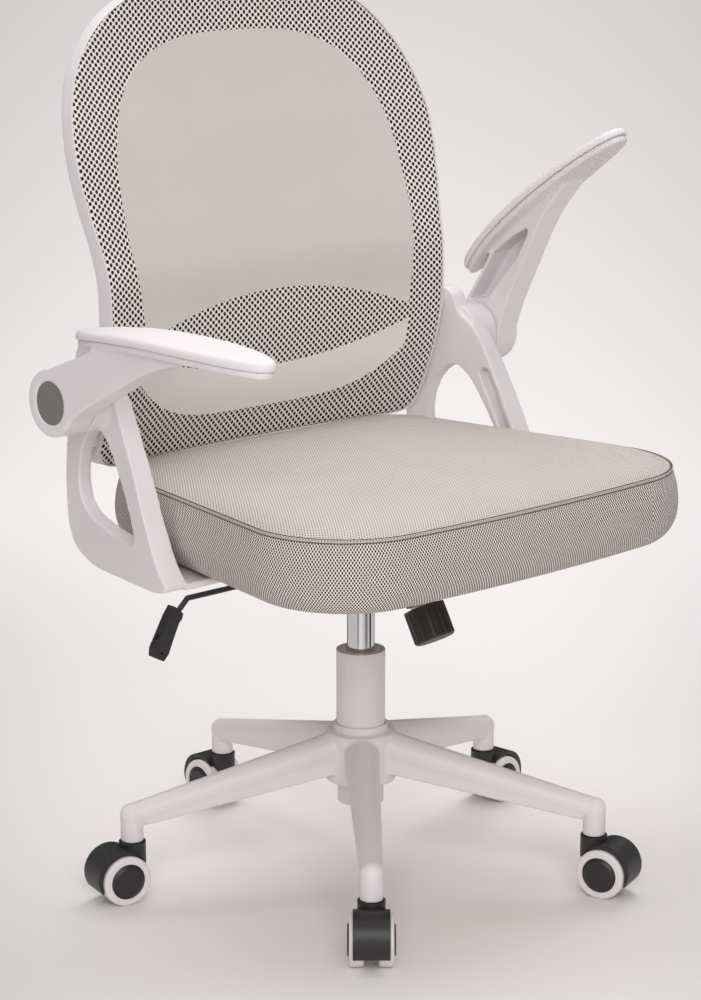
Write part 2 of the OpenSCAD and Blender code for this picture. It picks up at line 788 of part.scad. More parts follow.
module tilt_axle() {
    reach = housing_half_w + flange_gap + flange_t + axle_end;
    color("silver")
        translate([0, tilt_y, tilt_z])
            rotate([0, 90, 0]) {
                cylinder(h = 2 * reach, r = tilt_axle_r, center = true);
                for (side = [-1, 1])
                    translate([0, 0, side * (reach + axle_end / 2)])
                        cylinder(h = axle_end, r = tilt_axle_r + axle_end, center = true);
            }
}

// Points of a ring of the spring's wire, on a helix
spring_steps = 12;
spring_sides = 6;
spring_pitch = 4.6;
spring_top = spring_cup_r - spring_wire_r - seat_gap;
function spring_ring(i) =
    let (a = 360 * i / spring_steps, z = spring_top - spring_pitch * i / spring_steps)
    [for (j = [0:spring_sides - 1])
        let (b = 360 * j / spring_sides, r = spring_mean_r + spring_wire_r * cos(b))
        [r * cos(a), r * sin(a), z + spring_wire_r * sin(b)]];

module tension_spring() {
    n = spring_coils * spring_steps;
    points = [for (i = [0:n]) each spring_ring(i)];
    walls = [for (k = [0:n - 1]) each ring_faces(k, spring_sides)];
    first = [for (j = [1:spring_sides - 2]) [0, j + 1, j]];
    last = [for (j = [1:spring_sides - 2])
        [n * spring_sides, n * spring_sides + j, n * spring_sides + j + 1]];
    color("silver")
        knob_frame()
            polyhedron(points = points, faces = concat(walls, first, last));
}

washer_z = spring_top - spring_pitch * spring_coils - spring_wire_r - seat_gap - washer_t;
cup_low = washer_z - knob_hub_gap + knob_travel + seat_gap;

module tension_washer() {
    color("silver")
        knob_frame()
            translate([0, 0, washer_z])
                difference() {
                    union() {
                        cylinder(h = washer_t, r = washer_r);
                        translate([0, 0, -knob_hub_l])
                            cylinder(h = knob_hub_l, r = knob_screw_r + knob_hub_wall);
                        cylinder(h = washer_t + knob_screw_l, r = knob_screw_r);
                    }
                    translate([0, 0, -knob_screw_r * 3])
                        cylinder(h = knob_screw_r * 3, r = knob_screw_bore_r);
                }
}

module tension_knob() {
    color(dark)
        knob_frame()
            translate([0, 0, washer_z - knob_hub_gap])
                difference() {
                    union() {
                        translate([0, 0, knob_bevel - knob_l])
                            cylinder(h = knob_l - knob_bevel, r = knob_d / 2);
                        translate([0, 0, -knob_l])
                            cylinder(h = knob_bevel, r1 = knob_d / 2 - knob_bevel, r2 = knob_d / 2);
                    }
                    translate([0, 0, -knob_hub_l - seat_gap])
                        cylinder(h = knob_hub_l + seat_gap + over,
                            r = knob_screw_r + knob_hub_wall + run_gap);
                    for (k = [0:knob_flute_count - 1])
                        rotate(k * 360 / knob_flute_count)
                            translate([knob_d / 2 + knob_flute_r / 2, 0, -knob_l - over])
                                cylinder(h = knob_l - knob_bevel, r = knob_flute_r);
                }
}

module lever_bush() {
    color(dark)
        difference() {
            union() {
                translate([-housing_half_w - bush_l / 2, 0, lever_z])
                    rotate([0, 90, 0]) {
                        cylinder(h = bush_l + housing_wall, r = bush_r);
                        cylinder(h = bush_l / 2 - seat_gap, r = bush_r + bush_rim);
                    }
                lever_pin(bush_pin_r, bush_pin_half_l);
            }
            translate([-housing_half_w - bush_l, 0, lever_z])
                rotate([0, 90, 0])
                    cylinder(h = 3 * bush_l, r = lever_r + run_gap);
        }
}

grip_top_x = -lever_reach - lever_bend_run - grip_shift;
grip_top_z = lever_z - lever_bend_drop + grip_lift;

module lever_rod() {
    tail_l = norm([lever_bend_run, lever_bend_drop]);
    tail_angle = atan2(lever_bend_drop, lever_bend_run);
    color(dark) {
        translate([-lever_reach, 0, lever_z])
            rotate([0, 90, 0])
                cylinder(h = lever_reach + lever_inner_x, r = lever_r);
        translate([-lever_reach, 0, lever_z])
            sphere(r = lever_r);
        translate([-lever_reach, 0, lever_z])
            rotate([0, -90 - tail_angle, 0])
                cylinder(h = tail_l + grip_l / 4, r = lever_r);
    }
}

module lever_grip() {
    tail_angle = atan2(lever_bend_drop, lever_bend_run);
    color(dark)
        difference() {
            translate([grip_top_x, 0, grip_top_z])
                rotate([0, grip_lean, 0])
                    rotate([90, 0, 0])
                        linear_extrude(grip_t, center = true)
                            polygon([for (p = grip_shares) [p[0] * grip_end_w, -p[1] * grip_l]]);
            translate([grip_top_x, 0, grip_top_z])
                rotate([0, grip_lean, 0])
                    translate([0, 0, -grip_l * grip_hole_share])
                        rotate([90, 0, 0])
                            cylinder(h = 2 * grip_t, r = grip_hole_r, center = true);
            translate([-lever_reach, 0, lever_z])
                rotate([0, -90 - tail_angle, 0])
                    cylinder(h = grip_l, r = lever_r + fit_gap);
        }
}

// Seat

module seat_plate() {
    flange_x = housing_half_w + flange_gap;
    flange_low = tilt_z - 2 * tilt_axle_r;
    color("#3a3a3c")
        difference() {
            union() {
                translate([-plate_half_w, plate_front_y, plate_low_z])
                    cube([2 * plate_half_w, plate_rear_y - plate_front_y, plate_t]);
                for (side = [-1, 1])
                    translate([side * (flange_x + flange_t / 2), tilt_y, 0])
                        translate([-flange_t / 2, -flange_half_l, flange_low])
                            cube([flange_t, 2 * flange_half_l, plate_low_z - flange_low + plate_t / 2]);
            }
            translate([0, tilt_y, tilt_z])
                rotate([0, 90, 0])
                    cylinder(h = 4 * housing_half_w, r = tilt_axle_r + run_gap, center = true);
            for (sx = [-1, 1], y = [plate_front_y + 4 * screw_r, plate_rear_y - 4 * screw_r])
                translate([sx * (plate_half_w - 4 * screw_r), y, plate_low_z - over])
                    cylinder(h = plate_t + 2 * over, r = screw_r);
        }
}

module seat_board() {
    color("burlywood")
        difference() {
            translate([0, 0, board_low_z])
                linear_extrude(board_t)
                    polygon([for (p = seat_level(-board_inset, 1, 0)) [p[0], p[1]]]);
            for (sx = [-1, 1], y = [plate_front_y + 4 * screw_r, plate_rear_y - 4 * screw_r])
                translate([sx * (plate_half_w - 4 * screw_r), y, board_low_z - over])
                    cylinder(h = board_t / 2, r = screw_r);
        }
}

module cushion_form() {
    top_z = cushion_low_z + seat_side_h;
    rows = concat(
        [for (r = cushion_side_shares)
            seat_level(r[0] * seat_belly, r[1], cushion_low_z + r[2] * seat_side_h)],
        [for (i = [0:len(crown_plan_shares) - 1])
            seat_level(-seat_belly, crown_plan_shares[i], top_z + crown_rise_shares[i] * seat_crown)]);
    n = len(rows[0]);
    m = len(rows);
    points = concat([for (r = rows) each r],
        [[seat_mid[0], seat_mid[1], cushion_low_z], [seat_mid[0], seat_mid[1], top_z + seat_crown]]);
    walls = [for (k = [0:m - 2]) each [for (f = ring_faces(k, n)) [f[0], f[2], f[1]]]];
    low = [for (j = [0:n - 1]) [j, (j + 1) % n, m * n]];
    high = [for (j = [0:n - 1]) [(m - 1) * n + (j + 1) % n, (m - 1) * n + j, m * n + 1]];
    polyhedron(points = points, faces = concat(walls, low, high));
}

module seat_cushion() {
    color("#bdb6ad")
        difference() {
            cushion_form();
            translate([0, 0, board_low_z - over])
                linear_extrude(board_t + over + seat_gap)
                    polygon([for (p = seat_level(seat_gap - board_inset, 1, 0)) [p[0], p[1]]]);
        }
}

// Arm frames, drawn for the sitter's left side and mirrored for the right

frame_depth = frame_rear_y - frame_front_y;
frame_top_z = ear_z + ear_r;
frame_height = frame_top_z - foot_low_z;
function frame_point(p) =
    [frame_front_y + p[0] * frame_depth, foot_low_z + p[1] * frame_height];
function frame_in_x(y) =
    lerp(frame_in_front_x, frame_in_rear_x, pow((y - frame_front_y) / frame_depth, 1.2));
function frame_out_x(y) = frame_in_x(y)
    + lerp(arm_frame_front_t, arm_frame_rear_t, (y - frame_front_y) / frame_depth);
plan_steps = 8;

module frame_profile(shares, steps) {
    polygon(closed_curve([for (p = shares) frame_point(p)], steps));
}

module frame_plan() {
    ys = [for (i = [0:plan_steps]) lerp(frame_front_y - over, frame_rear_y + over, i / plan_steps)];
    polygon(concat([for (y = ys) [frame_in_x(min(max(y, frame_front_y), frame_rear_y)), y]],
        [for (y = reversed(ys)) [frame_out_x(min(max(y, frame_front_y), frame_rear_y)), y]]));
}

module side_extrude(x0, x1) {
    translate([x0, 0, 0])
        rotate([90, 0, 90])
            linear_extrude(x1 - x0)
                children();
}

module arm_frame_body() {
    difference() {
        union() {
            intersection() {
                side_extrude(frame_in_rear_x - arm_barrel_r, arm_outer_x)
                    frame_profile(frame_outline_shares, 3);
                linear_extrude(frame_top_z + over)
                    frame_plan();
            }
            translate([frame_in_x(arm_pivot_y) + arm_frame_rear_t / 2, arm_pivot_y, arm_pivot_z])
                rotate([0, 90, 0])
                    cylinder(h = arm_in_x - arm_face_gap - frame_in_x(arm_pivot_y) - arm_frame_rear_t / 2,
                        r = arm_barrel_r);
            translate([arm_in_x - arm_face_gap - over, arm_pivot_y, arm_pivot_z])
                rotate([0, 90, 0])
                    cylinder(h = arm_barrel_l - cap_recess + cap_gap + arm_face_gap + over, r = spigot_r);
            translate([frame_bar_in_x, frame_bar_front_y, board_low_z - fit_gap - frame_bar_t])
                cube([frame_in_front_x - frame_bar_in_x + over,
                    frame_bar_rear_y - frame_bar_front_y, frame_bar_t]);
        }
        side_extrude(frame_in_rear_x - arm_barrel_r - over, arm_outer_x)
            frame_profile(frame_window_shares, 3);
        intersection() {
            side_extrude(0, arm_outer_x)
                frame_profile(frame_recess_shares, 2);
            linear_extrude(frame_top_z)
                frame_plan_recess();
        }
        for (z = [bolt_low_z, bolt_high_z])
            translate([0, bolt_y(z), z])
                rotate([0, 90, 0])
                    cylinder(h = bolt_tip_x(z) + bolt_spare, r = bolt_r + fit_gap);
        for (y = [frame_bar_front_y + bar_screw_inset, frame_bar_rear_y - bar_screw_inset])
            translate([frame_bar_in_x + bar_screw_inset, y, 0])
                cylinder(h = board_low_z, r = screw_r + run_gap);
    }
}

module frame_plan_recess() {
    ys = [for (i = [0:plan_steps]) lerp(frame_front_y, frame_rear_y, i / plan_steps)];
    polygon(concat([for (y = ys) [frame_in_x(y) - arm_barrel_r, y]],
        [for (y = reversed(ys)) [(frame_in_x(y) + frame_out_x(y)) / 2, y]]));
}

// Depth at which the back's frame takes its bolts
function bolt_h(z) = (z - back_low_z) / back_h;
function bolt_y(z) = back_rest_y(bolt_h(z)) + back_dish * (1 - pow(waist_share, 2)) + rim_depth(bolt_h(z)) / 2;
// Each bolt goes through the back's frame from inside and ends in the arm frame
function bolt_tip_x(z) = frame_in_x(bolt_y(z)) + bolt_grip;
waist_share = 0.925;
bolt_seat_x = waist_share * back_half_w + back_lip - back_rim_w + bolt_head_t + 3 * bolt_spare;

module arm_frame_left() {
    color(white)
        arm_frame_body();
}

module arm_frame_right() {
    color(white)
        mirror([1, 0, 0])
            arm_frame_body();
}

module frame_bolts() {
    color("silver")
        for (side = [-1, 1], z = [bolt_low_z, bolt_high_z])
            translate([side * bolt_seat_x, bolt_y(z), z])
                rotate([0, side * 90, 0])
                    difference() {
                        union() {
                            cylinder(h = bolt_tip_x(z) - bolt_seat_x, r = bolt_r);
                            translate([0, 0, -bolt_head_t])
                                cylinder(h = bolt_head_t - fit_gap, r = bolt_head_r);
                        }
                        translate([0, 0, -bolt_head_t - over])
                            cylinder(h = bolt_head_t / 2 + over, r = bolt_r * bolt_socket_share, $fn = 6);
                    }
}

// Back

module back_ring() {
    rings = [for (i = [0:back_n - 1])
        let (d = rim_depth(back_loop[i][1]))
        [rim_point(i, 0, 0),
            rim_point(i, back_lip, 0),
            rim_point(i, back_lip, d * rim_wall_share),
            rim_point(i, back_lip - back_rim_w * rim_round_share, d),
            rim_point(i, back_lip - back_rim_w * (1 - rim_round_share), d),
            rim_point(i, back_lip - back_rim_w, d * rim_wall_share),
            rim_point(i, back_lip - back_rim_w, mesh_t + mesh_gap),
            rim_point(i, 0, mesh_t + mesh_gap)]];
    m = len(rings[0]);
    points = [for (r = rings) each r];
    faces = [for (k = [0:back_n - 1], j = [0:m - 1])
        let (a = k * m + j, b = k * m + (j + 1) % m,
            c = ((k + 1) % back_n) * m + (j + 1) % m, d = ((k + 1) % back_n) * m + j)
        each [[a, c, b], [a, d, c]]];
    polyhedron(points = points, faces = faces);
}

module back_frame() {
    color(white)
        difference() {
            union() {
                back_ring();
                for (side = [-1, 1], z = [bolt_low_z, bolt_high_z])
                    translate([side * (frame_in_x(bolt_y(z)) - lug_l - lug_gap), bolt_y(z), z])
                        rotate([0, side * 90, 0])
                            cylinder(h = lug_l, r = lug_r);
            }
            for (side = [-1, 1], z = [bolt_low_z, bolt_high_z])
                translate([side * bolt_seat_x, bolt_y(z), z])
                    rotate([0, side * 90, 0]) {
                        cylinder(h = arm_outer_x, r = bolt_r + fit_gap);
                        translate([0, 0, -back_rim_w])
                            cylinder(h = back_rim_w, r = bolt_head_r + seat_gap);
                    }
        }
}

// A bowed bar behind the mesh at the small of the back
lumbar_z_share = 0.30;
lumbar_h = 26;
lumbar_t = 5;
lumbar_behind = 9;
lumbar_bow = 2;
lumbar_swell_share = 0.35;
lumbar_wide_share = 0.94;
lumbar_half = lumbar_wide_share + (back_lip - back_rim_w - seat_gap) / back_half_w;
lumbar_n = 20;
module lumbar_support() {
    half = lumbar_half;
    rings = [for (i = [0:lumbar_n])
        let (w = lerp(-half, half, i / lumbar_n), grow = 1 + lumbar_swell_share * (1 - pow(w / half, 2)),
            h0 = lumbar_z_share - grow * lumbar_h / back_h / 2,
            h1 = lumbar_z_share + grow * lumbar_h / back_h / 2,
            bow = lumbar_behind - lumbar_bow * pow(w / half, 2))
        [back_point(w, h0, bow), back_point(w, h1, bow),
            back_point(w, h1, bow + lumbar_t), back_point(w, h0, bow + lumbar_t)]];
    points = [for (r = rings) each r];
    walls = [for (k = [0:lumbar_n - 1]) each ring_faces(k, 4)];
    last = lumbar_n * 4;
    color(white)
        polyhedron(points = points,
            faces = concat(walls, [[0, 2, 1], [0, 3, 2], [last, last + 1, last + 2],
                [last, last + 2, last + 3]]));
}

mesh_cols = 14;
module back_mesh() {
    side = [for (i = [2 * mesh_low_row:back_n / 2 - 2]) back_loop[i]];
    rows = len(side);
    function row_point(i, j, behind) =
        let (w = side[i][0] * (1 - mesh_gap / back_half_w) * (2 * j / mesh_cols - 1))
        back_point(w, side[i][1] * (1 - 2 * mesh_gap / back_h) + mesh_gap / back_h, behind);
    n = mesh_cols + 1;
    points = concat([for (i = [0:rows - 1], j = [0:mesh_cols]) row_point(i, j, 0)],
        [for (i = [0:rows - 1], j = [0:mesh_cols]) row_point(i, j, mesh_t)]);
    o = rows * n;
    front = [for (i = [0:rows - 2], j = [0:mesh_cols - 1])
        let (a = i * n + j, b = a + 1, c = a + n + 1, d = a + n) each [[a, c, b], [a, d, c]]];
    rear = [for (i = [0:rows - 2], j = [0:mesh_cols - 1])
        let (a = o + i * n + j, b = a + 1, c = a + n + 1, d = a + n) each [[a, b, c], [a, c, d]]];
    loop = concat([for (j = [0:mesh_cols]) j], [for (i = [1:rows - 1]) i * n + mesh_cols],
        [for (j = [mesh_cols - 1:-1:0]) (rows - 1) * n + j], [for (i = [rows - 2:-1:1]) i * n]);
    l = len(loop);
    rim = [for (k = [0:l - 1]) let (a = loop[k], b = loop[(k + 1) % l])
        each [[a, b, b + o], [a, b + o, a + o]]];
    color("#c9c3ba")
        polyhedron(points = points, faces = concat(front, rear, rim));
}

// Armrests, drawn lowered on the sitter's left side

wing_side = [for (p = wing_low_shares) [arm_pivot_y - p[0] * arm_pad_l, arm_pivot_z + p[1] * arm_pad_rise]];
wing_top = [for (p = wing_top_shares) [arm_pivot_y - p[0] * arm_pad_l, arm_pivot_z + p[1] * arm_pad_rise]];
tray_low_z = pad_top_z - arm_pad_t;
tray_t = arm_pad_t * (1 - pad_tray_share);
wing_roof_share = 0.6;

module pad_slab(z_share_low, z_share_high, g) {
    ends = arm_pad_l / 2 + over;
    ys = [for (i = [0:pad_edge_steps]) lerp(-ends, ends, i / pad_edge_steps)];
    intersection() {
        translate([pad_mid_x, pad_mid_y, 0])
            linear_extrude(2 * pad_top_z)
                polygon(pad_outline(g));
        side_extrude(0, 2 * arm_outer_x)
            polygon(concat(
                [for (y = ys) [pad_mid_y + y, pad_top_z - arm_pad_t * z_share_low - pad_sag(y)]],
                [for (y = reversed(ys)) [pad_mid_y + y, pad_top_z - arm_pad_t * z_share_high - pad_sag(y)]]));
    }
}

module armrest_body() {
    difference() {
        union() {
            translate([arm_in_x, arm_pivot_y, arm_pivot_z])
                rotate([0, 90, 0])
                    cylinder(h = arm_barrel_l, r = arm_barrel_r);
            intersection() {
                side_extrude(arm_in_x, arm_outer_x)
                    polygon(concat(wing_top,
                        [[wing_top[len(wing_top) - 1][0], pad_top_z], [wing_side[0][0], pad_top_z]],
                        wing_side));
                side_extrude(arm_in_x, arm_outer_x)
                    polygon(concat([[arm_pivot_y + 2 * arm_barrel_r, 0]],
                        [for (i = [0:pad_edge_steps])
                            let (y = lerp(arm_pad_l, -arm_pad_l, i / pad_edge_steps) * wing_roof_share)
                                [pad_mid_y + y, tray_low_z + tray_t / 2 - pad_sag(y)]],
                        [[pad_mid_y - arm_pad_l, 0]]));
            }
            pad_slab(1, pad_tray_share, -pad_tray_inset);
        }
        translate([arm_in_x - over, arm_pivot_y, arm_pivot_z])
            rotate([0, 90, 0])
                cylinder(h = arm_barrel_l + 2 * over, r = spigot_r + run_gap);
        translate([arm_outer_x - cap_recess, arm_pivot_y, arm_pivot_z])
            rotate([0, 90, 0])
                cylinder(h = cap_recess + over, r = cap_r);
        side_extrude(arm_in_x - over, arm_outer_x - wing_skin)
            polygon([for (p = wing_recess_shares)
                [arm_pivot_y - p[0] * arm_pad_l, arm_pivot_z + p[1] * arm_pad_rise]]);
    }
}

module arm_pad_body() {
    level_shares = [[pad_tray_share, -1], [0.52, -0.2], [0.38, 0], [0.22, -0.4], [0.08, -1.5], [0.02, -3.2]];
    inner_shares = [0.72, 0.36];
    floor_shares = [0.82, 0.64, 0.44, 0.22];
    rows = concat(
        [for (r = level_shares) [for (p = pad_outline(r[1] * pad_edge_round)) [p[0], p[1],
            pad_parting * r[0] / pad_tray_share - arm_pad_t * r[0] - pad_sag(p[1])]]],
        [for (s = inner_shares) [for (p = pad_outline(-pad_top_round)) [p[0] * s, p[1] * s, -pad_sag(p[1] * s)]]]);
    n = pad_n;
    m = len(rows);
    points = concat([for (r = rows) each r],
        [[0, 0, pad_parting - arm_pad_t * pad_tray_share], [0, 0, 0]]);
    walls = [for (k = [0:m - 2]) each [for (f = ring_faces(k, n)) [f[0], f[2], f[1]]]];
    high = [for (j = [0:n - 1]) [(m - 1) * n + (j + 1) % n, (m - 1) * n + j, m * n + 1]];
    floor_z = pad_parting - arm_pad_t * pad_tray_share;
    low_rows = [for (t = floor_shares) each
        [for (p = pad_outline(-pad_edge_round)) [p[0] * t, p[1] * t, floor_z - pad_sag(p[1] * t)]]];
    all_points = concat(points, low_rows);
    b = len(points);
    last = b + (len(floor_shares) - 1) * n;
    starts = [for (k = [-1:len(floor_shares) - 2]) k < 0 ? 0 : b + k * n];
    low = concat([for (k = [0:len(starts) - 1]) each [for (j = [0:n - 1]) each
            let (u = starts[k], v = b + k * n, w = (j + 1) % n)
            [[u + j, u + w, v + w], [u + j, v + w, v + j]]]],
        [for (j = [0:n - 1]) [last + j, last + (j + 1) % n, m * n]]);
    translate([pad_mid_x, pad_mid_y, pad_top_z])
        polyhedron(points = all_points, faces = concat(walls, low, high));
}

module flipped(angle) {
    translate([0, arm_pivot_y, arm_pivot_z])
        rotate([-angle, 0, 0])
            translate([0, -arm_pivot_y, -arm_pivot_z])
                children();
}

module armrest_left() {
    color(white)
        flipped(arm_left_flip)
            armrest_body();
}

module arm_pad_left() {
    color("#efedea")
        flipped(arm_left_flip)
            arm_pad_body();
}

module armrest_right() {
    color(white)
        mirror([1, 0, 0])
            armrest_body();
}

module arm_pad_right() {
    color("#efedea")
        mirror([1, 0, 0])
            arm_pad_body();
}

module arm_pivot_caps() {
    color("#5b5855")
        for (side = [-1, 1])
            translate([side * (arm_outer_x - cap_recess + seat_gap), arm_pivot_y, arm_pivot_z])
                rotate([0, side * 90, 0])
                    cylinder(h = cap_t, r = cap_r - run_gap);
}

// Casters

module caster_place(k) {
    rotate(leg_first_angle + (k - 1) * leg_step)
        translate([base_r, 0, 0])
            rotate(trail_turns[k - 1])
                children();
}

module hood_body() {
    axle = [caster_trail, wheel_r];
    difference() {
        union() {
            rotate([90, 0, 0])
                linear_extrude(hood_w, center = true)
                    difference() {
                        translate(axle + [hood_out_shift, hood_out_rise])
                            circle(r = hood_out_r);
                        translate(axle)
                            circle(r = hood_in_r);
                        polygon([[-2 * hood_out_r, -over], [caster_trail, -over],
                            axle, [-2 * hood_out_r, wheel_r + hood_tip_drop]]);
                        polygon([[caster_trail, -over], [4 * hood_out_r, -over],
                            [4 * hood_out_r, wheel_r - 4 * hood_tip_drop], axle]);
                    }
            translate([0, 0, boss_low_z])
                cylinder(h = hood_top_z - boss_low_z, r = hood_boss_r);
            rotate([90, 0, 0])
                linear_extrude(2 * web_half_t, center = true)
                    intersection() {
                        translate(axle)
                            circle(r = hood_in_r + over);
                        polygon([[-hood_boss_r, hood_top_z - hood_tip_drop],
                            [-hood_boss_r, boss_low_z - 2], [caster_trail - hood_web_low, wheel_r - hood_web_low],
                            [caster_trail + hood_web_low, wheel_r - hood_web_low],
                            [caster_trail + 2 * hood_out_r, wheel_r + hood_web_low],
                            [caster_trail + 2 * hood_out_r, hood_top_z],
                            [0, hood_top_z]]);
                    }
        }
        translate([0, 0, boss_low_z - over])
            cylinder(h = hood_top_z, r = stem_neck_r + run_gap);
        for (side = [-1, 1])
            translate([caster_trail, side * (web_half_t + hood_w / 2), wheel_r])
                rotate([90, 0, 0])
                    cylinder(h = hood_w, r = hood_in_r, center = true);
        translate([caster_trail, 0, wheel_r])
            rotate([90, 0, 0])
                cylinder(h = 2 * hood_w, r = caster_axle_d / 2 + fit_gap, center = true);
    }
}

module caster_hood(k) {
    color(dark)
        caster_place(k)
            hood_body();
}

module caster_axle(k) {
    color("silver")
        caster_place(k)
            translate([caster_trail, 0, wheel_r])
                rotate([90, 0, 0])
                    cylinder(h = 2 * (tread_out - axle_end_gap), r = caster_axle_d / 2, center = true);
}

module wheel_disc(k, side) {
    color(dark)
        caster_place(k)
            translate([caster_trail, 0, wheel_r])
                rotate([-side * 90, 0, 0])
                    rotate_extrude()
                        polygon([[caster_axle_d / 2 + run_gap, tread_in],
                            [wheel_core_r, tread_in], [wheel_core_r, tread_out - disc_dome / 2],
                            [disc_lip_r, tread_out + disc_dome], [0, tread_out + disc_dome],
                            [0, tread_out - axle_end_gap + seat_gap],
                            [caster_axle_d / 2 + run_gap, tread_out - axle_end_gap + seat_gap]]);
}

module wheel_tread(k, side) {
    inner = wheel_core_r + fit_gap;
    color("#ececea")
        caster_place(k)
            translate([caster_trail, 0, wheel_r])
                rotate([-side * 90, 0, 0])
                    rotate_extrude()
                        polygon(concat([[inner, tread_in]],
                            arc([wheel_r - tread_round, tread_in + tread_round], tread_round, -90, 0, 4),
                            arc([wheel_r - tread_round, tread_out - tread_round], tread_round, 0, 90, 4),
                            [[inner, tread_out]]));
}

five_star_base();
caster_stems();
column_tube();
column_bushing();
rod_bearing();
piston_rod();
gas_cylinder();
release_button();
mechanism_housing();
tilt_axle();
tension_spring();
tension_washer();
tension_knob();
lever_bush();
lever_rod();
lever_grip();
seat_plate();
seat_board();
seat_cushion();
arm_frame_right();
arm_frame_left();
frame_bolts();
back_frame();
lumbar_support();
back_mesh();
armrest_right();
arm_pad_right();
armrest_left();
arm_pad_left();
arm_pivot_caps();
caster_hood(1);  // caster_1_hood
caster_axle(1);  // caster_1_axle
wheel_disc(1, 1);  // caster_1_disc_left
wheel_tread(1, 1);  // caster_1_tread_left
wheel_disc(1, -1);  // caster_1_disc_right
wheel_tread(1, -1);  // caster_1_tread_right
caster_hood(2);  // caster_2_hood
caster_axle(2);  // caster_2_axle
wheel_disc(2, 1);  // caster_2_disc_left
wheel_tread(2, 1);  // caster_2_tread_left
wheel_disc(2, -1);  // caster_2_disc_right
wheel_tread(2, -1);  // caster_2_tread_right
caster_hood(3);  // caster_3_hood
caster_axle(3);  // caster_3_axle
wheel_disc(3, 1);  // caster_3_disc_left
wheel_tread(3, 1);  // caster_3_tread_left
wheel_disc(3, -1);  // caster_3_disc_right
wheel_tread(3, -1);  // caster_3_tread_right
caster_hood(4);  // caster_4_hood
caster_axle(4);  // caster_4_axle
wheel_disc(4, 1);  // caster_4_disc_left
wheel_tread(4, 1);  // caster_4_tread_left
wheel_disc(4, -1);  // caster_4_disc_right
wheel_tread(4, -1);  // caster_4_tread_right
caster_hood(5);  // caster_5_hood
caster_axle(5);  // caster_5_axle
wheel_disc(5, 1);  // caster_5_disc_left
wheel_tread(5, 1);  // caster_5_tread_left
wheel_disc(5, -1);  // caster_5_disc_right
wheel_tread(5, -1);  // caster_5_tread_right
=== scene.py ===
"""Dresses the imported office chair: upholstery, mesh back, moulded shells, finishes and stage."""

import json
import math

import bmesh
import bpy
import numpy as np
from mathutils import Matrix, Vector


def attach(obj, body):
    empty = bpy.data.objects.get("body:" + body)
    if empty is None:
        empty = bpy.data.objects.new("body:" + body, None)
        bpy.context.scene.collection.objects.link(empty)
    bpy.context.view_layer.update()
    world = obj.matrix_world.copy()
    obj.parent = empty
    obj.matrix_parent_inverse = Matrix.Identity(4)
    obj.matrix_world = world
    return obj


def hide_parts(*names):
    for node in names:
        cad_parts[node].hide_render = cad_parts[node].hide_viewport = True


bl_info = {
    "name": "Office Chair Dressing",
    "version": (1, 0, 0),
    "blender": (4, 5, 0),
    "location": "View3D > Sidebar > Chair",
    "description": "Upholstery, mesh back, moulded shells, finishes and stage of an office chair",
    "category": "Object",
}

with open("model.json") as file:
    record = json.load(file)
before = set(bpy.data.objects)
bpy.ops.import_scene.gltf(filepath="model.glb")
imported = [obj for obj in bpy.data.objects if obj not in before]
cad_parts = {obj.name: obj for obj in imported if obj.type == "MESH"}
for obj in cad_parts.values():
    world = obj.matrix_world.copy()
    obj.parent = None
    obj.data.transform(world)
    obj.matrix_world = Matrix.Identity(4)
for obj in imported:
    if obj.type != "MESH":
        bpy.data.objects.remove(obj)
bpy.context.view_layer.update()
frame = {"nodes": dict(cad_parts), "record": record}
MM = 0.001


# ---- sizes, which repeat the values of the part's source, in millimetres ----

# The seat's front half width is 3 mm less than the source's, as the photo shows it
SEAT = dict(seam=428.0, side=73.5, crown=12.0, front_w=256.0, rear_w=211.0, front=244.0,
            rear=166.0, front_r=98.0, rear_r=68.0, belly=6.0)
BACK = dict(low=433.0, high=474.0, half=238.0, lean=80.0, reach=110.0, dish=16.0,
            rim=19.0, top_d=18.0, low_d=26.0, lip=1.5, mesh=2.0, thin=0.7, waist=0.925)
LUG = dict(r=8.0, long=16.0, gap=0.75, heights=(463.0, 553.0))
ARM_FRAME = dict(front=-22.0, depth=192.0, in_front=246.0, in_rear=228.0, bend=1.2)
ARM = dict(y=109.0, z=517.0, outer=305.0, rise=83.0, length=274.0, width=62.0, thick=16.0,
           tray=0.6, flip=36.0, gap=22.0, over=9.0, arch_rear=10.0, arch_front=5.0, taper=0.05,
           power=2.3)

OUTLINE = np.array([
    [0.00, 0.000], [0.30, 0.000], [0.60, 0.000], [0.80, 0.000], [0.875, 0.008],
    [0.912, 0.028], [0.924, 0.060], [0.928, 0.110], [0.932, 0.180], [0.940, 0.260],
    [0.944, 0.330], [0.948, 0.400], [0.961, 0.470], [0.984, 0.540], [1.000, 0.620],
    [0.995, 0.690], [0.962, 0.760], [0.895, 0.830], [0.785, 0.895], [0.640, 0.945],
    [0.450, 0.980], [0.230, 0.996], [0.000, 1.000]])
LEAN = [0.42, 0.34, 0.22, 0.115, 0.045, 0.00, -0.015, -0.012, 0.01, 0.083, 0.168, 0.26,
        0.346, 0.424, 0.506, 0.597, 0.68, 0.75, 0.80, 0.82, 0.80]


BASE_THINNING = 0.3
LIP_ROUND = 0.65
RIM_ROUND = 3.2

# Points round the back's outline, and the thickness of its mesh in millimetres
BACK_POINTS = 420
CLOTH_THICK = 0.9

# Back mesh, in metres: pitch across and up of the round holes and of the close knit, their
# radius and the softness of their edge, and a hole's height over its width
HOLE_PITCH = (0.0076, 0.0069)
HOLE_RADIUS = 0.00185
HOLE_SOFT = 0.0002
HOLE_TALL = 1.05
KNIT_PITCH = (0.0026, 0.0024)
KNIT_RADIUS = 0.0006
KNIT_SOFT = 0.0005

